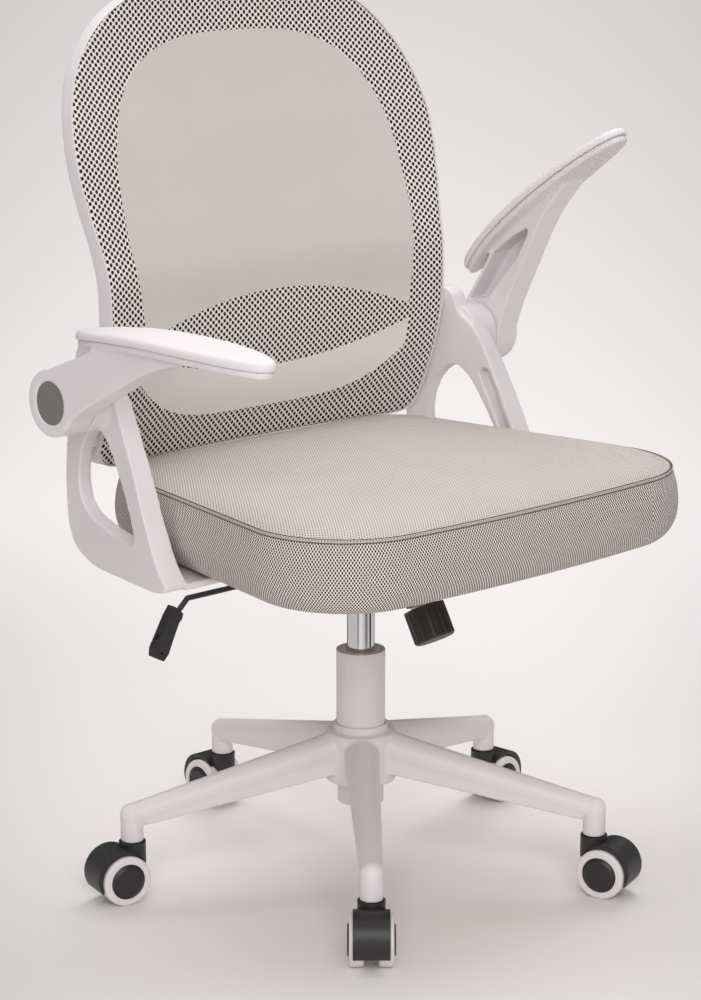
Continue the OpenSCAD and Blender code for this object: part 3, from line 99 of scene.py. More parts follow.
# Seat cloth, in metres: pitch across and along of its eyelets, edge softness, height over width
EYELET_PITCH = (0.0031, 0.0042)
EYELET_SOFT = 0.0002
EYELET_TALL = 1.25

# Radius in metres of the eyelets in the seat cloth, and how far its side panel is stretched
EYELET_SIDE = 0.00094
EYELET_TOP = 0.00050
SIDE_STRETCH = 0.9
SIDE_PALER = 32
STITCH_PITCH = 0.002

# Heights between which the mesh is painted paler downwards: painted light that lifts the shade on
# its lower part
PAINTED_LIGHT_TOP = 0.60
PAINTED_LIGHT_FULL = 0.50

# Column bushing: hole and outer radius, lowest and highest level, edge round, notches
COLLAR = dict(hole=14.35, out=21.3, low=172.0, top=235.3, round=0.4, dent=1.7, dents=10)

# Floor: colour, line of sight on the ground, and how much painted shade darkens its tone to the
# sides and far away, in metres
PAPER = (251, 247, 246)
SIGHT = (0.682, 0.731)
VIEW_REACH = 2.75
PAINTED_SIDE_SHADE = 12.0
SIDE_MOST = 0.02
ROOM_TONE = (0.970, 0.930, 0.923)
ROOM_STARTS = 0.6
ROOM_FULL = 1.7
PAINTED_FAR_SHADE = 0.32
ROOM_HALF = 4.0
# Cards that only mirrors see: direction in degrees, distance, width and tone
FLAG_LOW = 0.01
FLAG_HIGH = 1.2
FLAGS = ((-47.0, 0.75, 0.26, 12), (203.7, 0.75, 0.09, 50), (70.0, 0.75, 0.60, 105),
         (274.0, 0.75, 0.33, 165), (27.0, 0.75, 0.50, 90))

# Lamps: place, target and side in metres; side of the floor; the photo's camera
LAMPS = dict(overhead=((0.3, 0.5, 3.2), (0.0, 0.0, 0.0), 3.0),
             front=((-2.4, -2.9, 2.3), (0.0, 0.0, 0.4), 2.4),
             behind=((1.95, 0.92, 3.0), (0.0, 0.0, 0.2), 2.0))
FLOOR_SIDE = 80.0
CAMERA = dict(place=(-1.88367, -2.00462, 1.05289), towards=(0.66311, 0.71110, -0.23370),
              lens=101.1, sensor=36.0)


# ---- curves ----

def catmull(points, s, closed=False):
    """Smooth curve through the rows of points: on each stretch a cubic whose slope at a
    row is half the step between that row's neighbours. s runs from 0 to 1."""
    p = np.asarray(points, float)
    if p.ndim == 1:
        p = p[:, None]
    s = np.asarray(s, float)
    count = len(p) if closed else len(p) - 1
    u = np.clip(s, 0, 1) * count
    i = np.minimum(np.floor(u).astype(int), count - 1)
    f = (u - i)[..., None]
    if closed:
        a, b, c, d = (p[(i + k) % len(p)] for k in (-1, 0, 1, 2))
    else:
        last = len(p) - 1
        a, b = p[np.maximum(i - 1, 0)], p[i]
        c, d = p[i + 1], p[np.minimum(i + 2, last)]
    out = b + f * (c - a) / 2 + f * f * (a - 2.5 * b + 2 * c - d / 2) \
        + f * f * f * (1.5 * (b - c) + (d - a) / 2)
    return out


def back_rest_y(h):
    """Depth of the back at height share h: the reach plus the lean times the lean curve."""
    return BACK["reach"] + BACK["lean"] * catmull(LEAN, h)[..., 0]


def rim_depth(h):
    """Depth of the back frame's rim, which thins out evenly up to a share of its height."""
    share = np.minimum(1, np.asarray(h, float) / BACK["thin"])
    return BACK["low_d"] + (BACK["top_d"] - BACK["low_d"]) * share


def frame_in_x(y):
    """Inner face of an arm frame at depth y: it draws in as a power of the way back."""
    f = ARM_FRAME
    share = ((y - f["front"]) / f["depth"]) ** f["bend"]
    return f["in_front"] + (f["in_rear"] - f["in_front"]) * share


def back_point(w, h, behind=0.0):
    """Point of the back: w and h are shares of the half width and the height; the dish
    pushes it back by dish times one minus w squared."""
    y = back_rest_y(h) + BACK["dish"] * (1 - w * w) + behind
    return np.stack([w * BACK["half"], y + 0 * w, BACK["low"] + h * BACK["high"] + 0 * w],
                    axis=-1)


def back_loop(n):
    """Closed outline of the back as n rows of [w, h], evenly spaced along its length."""
    loop = np.concatenate([OUTLINE, OUTLINE[-2:0:-1] * [-1, 1]])
    fine = catmull(loop, np.linspace(0, 1, 4001), closed=True)
    step = np.linalg.norm(np.diff(fine * [BACK["half"], BACK["high"]], axis=0), axis=1)
    along = np.concatenate([[0], np.cumsum(step)])
    want = np.linspace(0, along[-1], n, endpoint=False)
    return np.stack([np.interp(want, along, fine[:, k]) for k in (0, 1)], axis=-1)


def outward(loop):
    """Outward normals, in the front view, of a closed outline of [w, h] rows."""
    size = np.array([BACK["half"], BACK["high"]])
    d = (np.roll(loop, -1, axis=0) - np.roll(loop, 1, axis=0)) * size
    q = np.stack([d[:, 1], -d[:, 0]], axis=-1)
    return q / np.linalg.norm(q, axis=1, keepdims=True)


def seat_loop(n_arc=40, n_side=90, n_edge=110):
    """Outline of the seat as a function of an outward shift g: two corner arcs joined by
    straight sides, mirrored, with a bowed front edge. Returns f(g) giving rows of [x, y]."""
    s = SEAT
    cf = np.array([s["front_w"] - s["front_r"], s["front_r"] - s["front"]])
    cr = np.array([s["rear_w"] - s["rear_r"], s["rear"] - s["rear_r"]])
    d = cf - cr
    turn = math.degrees(math.atan2(d[1], d[0])) + math.degrees(
        math.acos((s["rear_r"] - s["front_r"]) / np.linalg.norm(d)))

    def corner(c, r, a0, a1, n):
        a = np.radians(np.linspace(a0, a1, n))
        return c + r * np.stack([np.cos(a), np.sin(a)], axis=-1)

    def edge(a, b, n, bulge):
        f = np.linspace(0, 1, n + 1)[1:-1, None]
        q = np.array([(b - a)[1], -(b - a)[0]]) / np.linalg.norm(b - a)
        return a + (b - a) * f + q * bulge * 4 * f * (1 - f)

    def ring(g):
        f = corner(cf, s["front_r"] + g, -90, turn, n_arc)
        r = corner(cr, s["rear_r"] + g, turn, 90, n_arc)
        half = np.concatenate([f, edge(f[-1], r[0], n_side, 0.0), r])
        other = half[::-1] * [-1, 1]
        return np.concatenate([half, edge(r[-1], other[0], n_edge, 0.0), other,
                               edge(other[-1], f[0], n_edge, s["belly"])])
    return ring


# ---- meshes ----

def mesh_object(name, verts, faces, uv=None, attributes=(), smooth=True):
    """New object from vertex rows in millimetres and face index lists; uv is one pair per
    loop, attributes are (name, one value per vertex)."""
    mesh = bpy.data.meshes.new(name)
    mesh.from_pydata((np.asarray(verts, float) * MM).tolist(), [], faces)
    if uv is not None:
        layer = mesh.uv_layers.new(name="weave")
        layer.data.foreach_set("uv", np.asarray(uv, np.float32).ravel())
    for key, values in attributes:
        att = mesh.attributes.new(key, "FLOAT", "POINT")
        att.data.foreach_set("value", np.asarray(values, np.float32))
    if smooth:
        mesh.polygons.foreach_set("use_smooth", np.ones(len(mesh.polygons), bool))
    mesh.update()
    obj = bpy.data.objects.new(name, mesh)
    bpy.context.scene.collection.objects.link(obj)
    return obj


def grid_faces(nu, nv, wrap_u, wrap_v):
    """Quads of an nu by nv grid of vertices, row by row, wrapped where asked."""
    iu = np.arange(nu if wrap_u else nu - 1)
    iv = np.arange(nv if wrap_v else nv - 1)
    a, b = np.meshgrid(iu, iv, indexing="ij")
    a1, b1 = (a + 1) % nu, (b + 1) % nv
    return np.stack([a * nv + b, a1 * nv + b, a1 * nv + b1, a * nv + b1], axis=-1).reshape(-1, 4)


def volume_sign(verts, faces):
    """Sign of the volume that triangles fanned from each face enclose."""
    v = np.asarray(verts, float)
    total = 0.0
    f = np.asarray([q for q in faces if len(q) == 4])
    if len(f):
        for tri in (f[:, [0, 1, 2]], f[:, [0, 2, 3]]):
            a, b, c = (v[tri[:, k]] for k in range(3))
            total += np.einsum("ij,ij->i", a, np.cross(b, c)).sum()
    t = np.asarray([q for q in faces if len(q) == 3])
    if len(t):
        a, b, c = (v[t[:, k]] for k in range(3))
        total += np.einsum("ij,ij->i", a, np.cross(b, c)).sum()
    return 1 if total > 0 else -1


def closed_shell(name, rows, first=None, last=None, **more):
    """Closed skin over an (nu, nv, 3) grid that wraps along v; first and last are pole
    points that close its two ends, or None where the grid wraps along u too."""
    nu, nv = rows.shape[:2]
    verts = rows.reshape(-1, 3)
    faces = grid_faces(nu, nv, first is None, True).tolist()
    if first is not None:
        base = len(verts)
        verts = np.concatenate([verts, [first, last]])
        j = np.arange(nv)
        k = (j + 1) % nv
        faces += np.stack([j, k, np.full(nv, base)], axis=-1).tolist()
        end = (nu - 1) * nv
        faces += np.stack([end + k, end + j, np.full(nv, base + 1)], axis=-1).tolist()
    if volume_sign(verts, faces) < 0:
        faces = [f[::-1] for f in faces]
    return mesh_object(name, verts, faces, **more)


def cad_copy(name, nodes):
    """Merged copy of CAD nodes, as vertex rows in millimetres and triangles."""
    verts, tris, base = [], [], 0
    for n in nodes:
        o = frame["nodes"][n]
        bm = bmesh.new()
        bm.from_mesh(o.data)
        bmesh.ops.remove_doubles(bm, verts=bm.verts, dist=1e-6)
        bmesh.ops.triangulate(bm, faces=bm.faces)
        bm.verts.index_update()
        verts.append(np.array([v.co[:] for v in bm.verts]))
        tris.append(np.array([[v.index for v in f.verts] for f in bm.faces]) + base)
        base += len(bm.verts)
        bm.free()
    obj = mesh_object(name, np.concatenate(verts) / MM, np.concatenate(tris).tolist())
    return obj


def settle(mesh, rounds, hold=0.0):
    """Softens a mesh in place. Each round moves every vertex half way to the mean of its
    neighbours and then back by slightly more than half of what that shrank."""
    n = len(mesh.vertices)
    co = np.empty(n * 3)
    mesh.vertices.foreach_get("co", co)
    co = co.reshape(-1, 3)
    edges = np.empty(len(mesh.edges) * 2, int)
    mesh.edges.foreach_get("vertices", edges)
    a, b = edges.reshape(-1, 2).T
    count = (np.bincount(a, minlength=n) + np.bincount(b, minlength=n))[:, None]
    for step in [0.5, -hold] * rounds:
        if step == 0:
            continue
        total = np.stack([np.bincount(a, co[b, k], n) + np.bincount(b, co[a, k], n)
                          for k in range(3)], axis=-1)
        co = co + step * (total / count - co)
    mesh.vertices.foreach_set("co", co.ravel())
    mesh.update()


def apply_modifiers(obj, name):
    """Puts an object's evaluated mesh in the place of its own, without its modifiers."""
    graph = bpy.context.evaluated_depsgraph_get()
    even = bpy.data.meshes.new_from_object(obj.evaluated_get(graph))
    obj.modifiers.clear()
    old = obj.data
    obj.data = even
    bpy.data.meshes.remove(old)
    even.name = name
    return even


def moulded(name, nodes, voxel, rounds, hold=0.0, keep=1.0):
    """Skin of CAD nodes with softened edges: an even mesh of their volume, settled, and
    thinned to a share of its faces."""
    obj = cad_copy(name, nodes)
    mod = obj.modifiers.new("even", "REMESH")
    mod.mode = "VOXEL"
    mod.voxel_size = voxel * MM
    even = apply_modifiers(obj, name)
    settle(even, rounds, hold)
    if keep < 1.0:
        thin = obj.modifiers.new("thin", "DECIMATE")
        thin.ratio = keep
        even = apply_modifiers(obj, name)
    even.polygons.foreach_set("use_smooth", np.ones(len(even.polygons), bool))
    even.update()
    return obj


# ---- finishes ----

def linear(r, g, b):
    """Screen colour of 0 to 255 as the linear values that a shader takes."""
    c = np.array([r, g, b]) / 255.0
    return tuple(float(x) for x in np.where(c <= 0.04045, c / 12.92,
                                            ((c + 0.055) / 1.055) ** 2.4)) + (1.0,)


class Finish:
    """Node tree of one finish, with short calls for its nodes and links."""

    def __init__(self, name):
        self.mat = bpy.data.materials.new(name)
        self.mat.use_nodes = True
        self.tree = self.mat.node_tree
        self.tree.nodes.clear()
        self.out = self.add("ShaderNodeOutputMaterial")
        self.bsdf = self.add("ShaderNodeBsdfPrincipled")
        self.link(self.bsdf.outputs[0], self.out.inputs[0])

    def add(self, kind, **values):
        node = self.tree.nodes.new(kind)
        for key, value in values.items():
            if hasattr(node, key):
                setattr(node, key, value)
            else:
                node.inputs[key.replace("_", " ")].default_value = value
        return node

    def link(self, a, b):
        self.tree.links.new(a, b)

    def math(self, kind, a, b=None, c=None):
        node = self.add("ShaderNodeMath", operation=kind)
        for k, value in enumerate((a, b, c)):
            if value is None:
                continue
            if isinstance(value, (int, float)):
                node.inputs[k].default_value = value
            else:
                self.link(value, node.inputs[k])
        return node.outputs[0]

    def place(self, uv=False):
        node = self.add("ShaderNodeTexCoord")
        return node.outputs["UV"] if uv else node.outputs["Object"]

    def noise(self, where, scale, detail=3.0):
        node = self.add("ShaderNodeTexNoise")
        node.inputs["Scale"].default_value = scale
        node.inputs["Detail"].default_value = detail
        self.link(where, node.inputs["Vector"])
        return node.outputs["Fac"]

    def mix(self, fac, a, b):
        node = self.add("ShaderNodeMix", data_type="RGBA")
        self.link(fac, node.inputs[0])
        for k, value in ((6, a), (7, b)):
            if isinstance(value, tuple):
                node.inputs[k].default_value = value
            else:
                self.link(value, node.inputs[k])
        return node.outputs[2]

    def bump(self, height, strength, distance, under=None):
        node = self.add("ShaderNodeBump")
        node.inputs["Strength"].default_value = strength
        node.inputs["Distance"].default_value = distance
        self.link(height, node.inputs["Height"])
        if under is not None:
            self.link(under, node.inputs["Normal"])
        self.link(node.outputs[0], self.bsdf.inputs["Normal"])
        return node.outputs[0]

    def round_edges(self, radius):
        node = self.add("ShaderNodeBevel", samples=6)
        node.inputs["Radius"].default_value = radius
        return node.outputs[0]


def moulded_plastic(name, colour, shade, rough, grain, edge=0.0):
    """Moulded plastic: two close shades in slow clouds, fine grain in the gloss and height."""
    f = Finish(name)
    where = f.place()
    slow = f.noise(where, 14.0, 2.0)
    f.link(f.mix(slow, linear(*colour), linear(*shade)), f.bsdf.inputs["Base Color"])
    fine = f.noise(where, 1500.0, 2.0)
    f.link(f.math("MULTIPLY_ADD", fine, 0.12, rough - 0.06), f.bsdf.inputs["Roughness"])
    f.bump(fine, grain, 0.0002, f.round_edges(edge) if edge else None)
    return f.mat


def metal(name, colour, rough, brushed=0.0, edge=0.0004):
    """Bare metal: colour varies slightly in slow clouds, brushed lines run along Z."""
    f = Finish(name)
    f.bsdf.inputs["Metallic"].default_value = 1.0
    where = f.place()
    slow = f.noise(where, 30.0, 2.0)
    dim = tuple(c * 0.93 for c in colour)
    f.link(f.mix(slow, linear(*colour), linear(*dim)), f.bsdf.inputs["Base Color"])
    stretch = f.add("ShaderNodeMapping")
    stretch.inputs["Scale"].default_value = (1.0, 1.0, 0.04)
    f.link(where, stretch.inputs["Vector"])
    lines = f.noise(stretch.outputs[0], 900.0, 2.0)
    f.link(f.math("MULTIPLY_ADD", lines, 0.1 + brushed, rough), f.bsdf.inputs["Roughness"])
    f.bump(lines, 0.02 + brushed, 0.0001, f.round_edges(edge))
    return f.mat


def lattice(f, u, v, pitch_u, pitch_v, radius, soft, tall=1.0):
    """Dots on a staggered lattice: 1 inside a dot and 0 outside, with a soft edge, from the
    distance to the nearest point of two shifted square lattices. Lengths in metres; tall
    is a dot's height over its width; radius is a number or a socket."""
    def nearest(shift):
        parts = []
        for coord, pitch, squeeze in ((u, pitch_u, 1.0), (v, pitch_v, 1 / tall)):
            cell = f.math("FRACT", f.math("ADD", f.math("DIVIDE", coord, pitch), shift))
            off = f.math("MULTIPLY", f.math("SUBTRACT", cell, 0.5), pitch * squeeze)
            parts.append(f.math("MULTIPLY", off, off))
        return f.math("SQRT", f.math("ADD", parts[0], parts[1]))
    near = f.math("MINIMUM", nearest(0.0), nearest(0.5))
    edge = f.add("ShaderNodeMapRange", interpolation_type="SMOOTHSTEP")
    edge.inputs["From Min"].default_value = -soft
    edge.inputs["From Max"].default_value = soft
    f.link(f.math("SUBTRACT", radius, near), edge.inputs["Value"])
    return edge.outputs[0]


def seat_fabric(name, colour, fleck):
    """Woven cloth: light yarn with dark eyelets on a staggered lattice, whose radius is an
    attribute in metres, and dark thread where the stitch attribute is one."""
    f = Finish(name)
    split = f.add("ShaderNodeSeparateXYZ")
    f.link(f.place(uv=True), split.inputs[0])
    u, v = split.outputs[0], split.outputs[1]
    eyelet = f.add("ShaderNodeAttribute", attribute_name="eyelet")
    stitch = f.add("ShaderNodeAttribute", attribute_name="stitch")
    dots = lattice(f, u, v, *EYELET_PITCH, eyelet.outputs["Fac"], EYELET_SOFT, EYELET_TALL)
    open_knit = f.add("ShaderNodeMapRange")
    open_knit.inputs["From Min"].default_value = EYELET_TOP
    open_knit.inputs["From Max"].default_value = EYELET_SIDE
    f.link(eyelet.outputs["Fac"], open_knit.inputs["Value"])
    where = f.place()
    slow = f.noise(where, 22.0, 3.0)
    yarn = f.noise(where, 900.0, 2.0)
    shade = tuple(c * 0.95 for c in colour)
    body = f.mix(slow, linear(*colour), linear(*shade))
    lively = f.mix(f.math("MULTIPLY", yarn, 0.5), body, linear(*(c * 0.88 for c in colour)))
    pale = f.mix(open_knit.outputs[0], lively, linear(*(min(c + SIDE_PALER, 255) for c in colour)))
    dash = f.math("PINGPONG", f.math("DIVIDE", u, STITCH_PITCH), 1.0)
    thread = f.math("MULTIPLY", stitch.outputs["Fac"], f.math("MULTIPLY_ADD", dash, 0.2, 0.8))
    dark = f.math("MAXIMUM", f.math("MULTIPLY", dots, 0.97), f.math("MULTIPLY", thread, 0.95))
    f.link(f.mix(dark, pale, linear(*fleck)), f.bsdf.inputs["Base Color"])
    f.bsdf.inputs["Roughness"].default_value = 0.85
    f.bsdf.inputs["Specular IOR Level"].default_value = 0.2
    f.bsdf.inputs["Sheen Weight"].default_value = 0.08
    f.bsdf.inputs["Sheen Roughness"].default_value = 0.5
    height = f.math("SUBTRACT", f.math("MULTIPLY", yarn, 0.5), dots)
    f.bump(height, 0.35, 0.0004)
    return f.mat


def back_fabric(name, colour, shade, hole):
    """Knitted mesh: close light knit, with dark round holes where the zone attribute is
    above zero; the attribute is a signed distance to the edge of the dotted zone."""
    f = Finish(name)
    split = f.add("ShaderNodeSeparateXYZ")
    f.link(f.place(uv=True), split.inputs[0])
    u, v = split.outputs[0], split.outputs[1]
    dots = lattice(f, u, v, *HOLE_PITCH, HOLE_RADIUS, HOLE_SOFT, HOLE_TALL)
    knit = lattice(f, u, v, *KNIT_PITCH, KNIT_RADIUS, KNIT_SOFT)
    zone = f.add("ShaderNodeAttribute", attribute_name="dotted")
    inside = f.math("GREATER_THAN", zone.outputs["Fac"], 0.0)
    where = f.place()
    slow = f.noise(where, 18.0, 3.0)
    yarn = f.noise(where, 1100.0, 2.0)
    body = f.mix(slow, linear(*colour), linear(*shade))
    body = f.mix(f.math("MULTIPLY", yarn, 0.3), body, linear(*(c * 0.9 for c in shade)))
    body = f.mix(f.math("MULTIPLY", knit, 0.22), body, linear(*(c * 0.8 for c in shade)))
    # Painted highlight: the yarn inside the dotted zone is painted whiter, standing in for
    # highlights between the holes
    body = f.mix(f.math("MULTIPLY", inside, 0.85), body, linear(*(c + 22 for c in colour)))
    height_z = f.add("ShaderNodeSeparateXYZ")
    f.link(where, height_z.inputs[0])
    # Painted light: below the upper height the mesh's colour is painted paler, standing in for
    # light on its shaded lower part
    low = f.add("ShaderNodeMapRange", interpolation_type="SMOOTHSTEP")
    low.inputs["From Min"].default_value = PAINTED_LIGHT_TOP
    low.inputs["From Max"].default_value = PAINTED_LIGHT_FULL
    f.link(height_z.outputs[2], low.inputs["Value"])
    body = f.mix(f.math("MULTIPLY", low.outputs[0], 0.9), body, linear(*(c + 24 for c in colour)))
    holes = f.math("MULTIPLY", dots, inside)
    f.link(f.mix(holes, body, linear(*hole)), f.bsdf.inputs["Base Color"])
    f.bsdf.inputs["Roughness"].default_value = 0.8
    f.bsdf.inputs["Sheen Weight"].default_value = 0.1
    height = f.math("SUBTRACT", f.math("MULTIPLY", knit, -0.3), f.math("MULTIPLY", holes, 1.0))
    f.bump(height, 0.4, 0.0005)
    return f.mat


def floor_paper():
    """Paper floor that runs up into the room's backdrop. Round the chair it is lit paper, with
    painted shade that darkens it to either side of the line of sight. With the distance from the
    chair it turns into a plain backdrop tone, which only camera rays see and which painted shade
    darkens slowly far away and to the sides."""
    f = Finish("finish_floor")
    split = f.add("ShaderNodeSeparateXYZ")
    f.link(f.place(), split.inputs[0])
    x, y = split.outputs[0], split.outputs[1]
    ahead = f.math("ADD", f.math("MULTIPLY", x, SIGHT[0]), f.math("MULTIPLY", y, SIGHT[1]))
    across = f.math("SUBTRACT", f.math("MULTIPLY", x, SIGHT[1]), f.math("MULTIPLY", y, SIGHT[0]))
    side = f.math("DIVIDE", across, f.math("ADD", f.math("MAXIMUM", ahead, -1.0), VIEW_REACH))
    side = f.math("MINIMUM", f.math("MULTIPLY", side, side), SIDE_MOST)
    slow = f.noise(f.place(), 1.5, 2.0)
    paper = f.mix(slow, linear(*PAPER), linear(*(c - 2 for c in PAPER)))
    # Painted shade: the paper is darkened to either side of the line of sight
    side_shade_paint = f.math("MULTIPLY", side, PAINTED_SIDE_SHADE)
    black = (0.0, 0.0, 0.0, 1.0)
    f.link(f.mix(side_shade_paint, paper, black), f.bsdf.inputs["Base Color"])
    f.bsdf.inputs["Roughness"].default_value = 0.9
    f.bsdf.inputs["Specular IOR Level"].default_value = 0.1
    away = f.math("SQRT", f.math("ADD", f.math("MULTIPLY", x, x), f.math("MULTIPLY", y, y)))
    # Painted shade: the backdrop tone is darkened with the distance from the chair and to the
    # sides
    beyond = f.math("MAXIMUM", f.math("SUBTRACT", away, ROOM_FULL), 0.0)
    far_shade_paint = f.math("MULTIPLY", f.math("DIVIDE", beyond, f.math("ADD", beyond, ROOM_HALF)),
                      PAINTED_FAR_SHADE)
    far_shade_paint = f.math("ADD", far_shade_paint, f.math("MULTIPLY", side, PAINTED_SIDE_SHADE / 2))
    room = f.add("ShaderNodeEmission")
    f.link(f.mix(far_shade_paint, ROOM_TONE + (1.0,), black), room.inputs["Color"])
    reach = f.add("ShaderNodeMapRange", interpolation_type="SMOOTHSTEP")
    reach.inputs["From Min"].default_value = ROOM_STARTS
    reach.inputs["From Max"].default_value = ROOM_FULL
    f.link(away, reach.inputs["Value"])
    ray = f.add("ShaderNodeLightPath")
    both = f.add("ShaderNodeMixShader")
    f.link(f.math("MULTIPLY", reach.outputs[0], ray.outputs["Is Camera Ray"]), both.inputs[0])
    f.link(f.bsdf.outputs[0], both.inputs[1])
    f.link(room.outputs[0], both.inputs[2])
    f.link(both.outputs[0], f.out.inputs[0])
    return f.mat


def plywood(name, light, dark_tone):
    """Plain plywood: long soft grain along X."""
    f = Finish(name)
    stretch = f.add("ShaderNodeMapping")
    stretch.inputs["Scale"].default_value = (2.0, 30.0, 30.0)
    f.link(f.place(), stretch.inputs["Vector"])
    grain = f.noise(stretch.outputs[0], 4.0, 6.0)
    f.link(f.mix(grain, linear(*light), linear(*dark_tone)), f.bsdf.inputs["Base Color"])
    f.bsdf.inputs["Roughness"].default_value = 0.7
    f.bump(grain, 0.1, 0.0003)
    return f.mat


# ---- settings ----

class ChairColours(bpy.types.PropertyGroup):
    """Colours of the chair's finishes, as screen values."""
    white: bpy.props.IntVectorProperty(
        name="White plastic", description="Base, column, frames and armrests, 0 to 255",
        default=(235, 229, 231), min=0, max=255)
    cloth: bpy.props.IntVectorProperty(
        name="Seat cloth", description="Yarn of the seat cloth, 0 to 255",
        default=(221, 212, 205), min=0, max=255)
    mesh: bpy.props.IntVectorProperty(
        name="Back mesh", description="Yarn of the back mesh, 0 to 255",
        default=(223, 215, 211), min=0, max=255)


class ChairShapes(bpy.types.PropertyGroup):
    """Sizes that only the dressing has."""
    voxel: bpy.props.FloatProperty(
        name="Shell mesh size", description="Edge length of the moulded shells' mesh, in mm",
        default=1.3, min=0.8, max=4.0)
    welt: bpy.props.FloatProperty(
        name="Welt radius", description="Radius of the raised seam round the seat, in mm",
        default=1.9, min=0.5, max=3.0)


class ChairStage(bpy.types.PropertyGroup):
    """Camera and light."""
    overhead: bpy.props.FloatProperty(
        name="Overhead light", description="Power of the large soft lamp above, in watts",
        default=56.0, min=0.0, max=500.0, subtype="POWER")
    front: bpy.props.FloatProperty(
        name="Front light", description="Power of the soft lamp behind the camera, in watts",
        default=86.0, min=0.0, max=500.0, subtype="POWER")
    behind: bpy.props.FloatProperty(
        name="Rear light", description="Power of the soft lamp behind the chair, in watts",
        default=25.0, min=0.0, max=500.0, subtype="POWER")
    sky: bpy.props.FloatProperty(
        name="Room light", description="Strength of the even light from all round",
        default=0.3, min=0.0, max=2.0)


def finish_of(slot):
    return bpy.data.materials["finish_" + slot]


def dress(obj, slot, body, replaced=()):
    """Gives a new piece its finish and slot, lets it ride on its body, and hides the CAD
    nodes that it stands for."""
    obj.data.materials.clear()
    obj.data.materials.append(finish_of(slot))
    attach(obj, body)
    if replaced:
        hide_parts(*replaced)
    return obj


# ---- operators ----

class CHAIR_OT_finishes(bpy.types.Operator):
    """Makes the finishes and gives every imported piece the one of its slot"""
    bl_idname = "chair.finishes"
    bl_label = "Finishes"

    def execute(self, context):
        c = context.scene.chair_colours
        white = tuple(c.white)
        soft_white = tuple(x - 5 for x in white)
        cloth = tuple(c.cloth)
        made = {
            "white_plastic": moulded_plastic("finish_white_plastic", white, soft_white,
                                             0.42, 0.06, 0.0011),
            "pad_plastic": moulded_plastic("finish_pad_plastic", tuple(x + 2 for x in white),
                                           white, 0.5, 0.05),
            "black_plastic": moulded_plastic("finish_black_plastic", (43, 41, 42),
                                             (36, 34, 35), 0.45, 0.2, 0.0008),
            "grey_plastic": moulded_plastic("finish_grey_plastic", (124, 121, 119),
                                            (117, 114, 112), 0.5, 0.15, 0.0005),
            "tread": moulded_plastic("finish_tread", (236, 230, 230), (229, 223, 223),
                                     0.45, 0.1, 0.0006),
            "chrome": metal("finish_chrome", (222, 222, 224), 0.06),
            "bright_steel": metal("finish_bright_steel", (190, 191, 194), 0.22, 0.1),
            "black_steel": moulded_plastic("finish_black_steel", (46, 46, 48), (38, 38, 40),
                                           0.4, 0.2, 0.0006),
            "seat_fabric": seat_fabric("finish_seat_fabric", cloth, (16, 14, 12)),
            "mesh": back_fabric("finish_mesh", tuple(c.mesh),
                                tuple(x - 8 for x in c.mesh), (15, 13, 12)),
            "plywood": plywood("finish_plywood", (205, 172, 126), (176, 140, 96)),
        }
        for part in frame["record"]["subparts"]:
            node = frame["nodes"][part["node"]]
            for s in node.material_slots:
                s.material = made[part["material_slot"]]
        return {"FINISHED"}


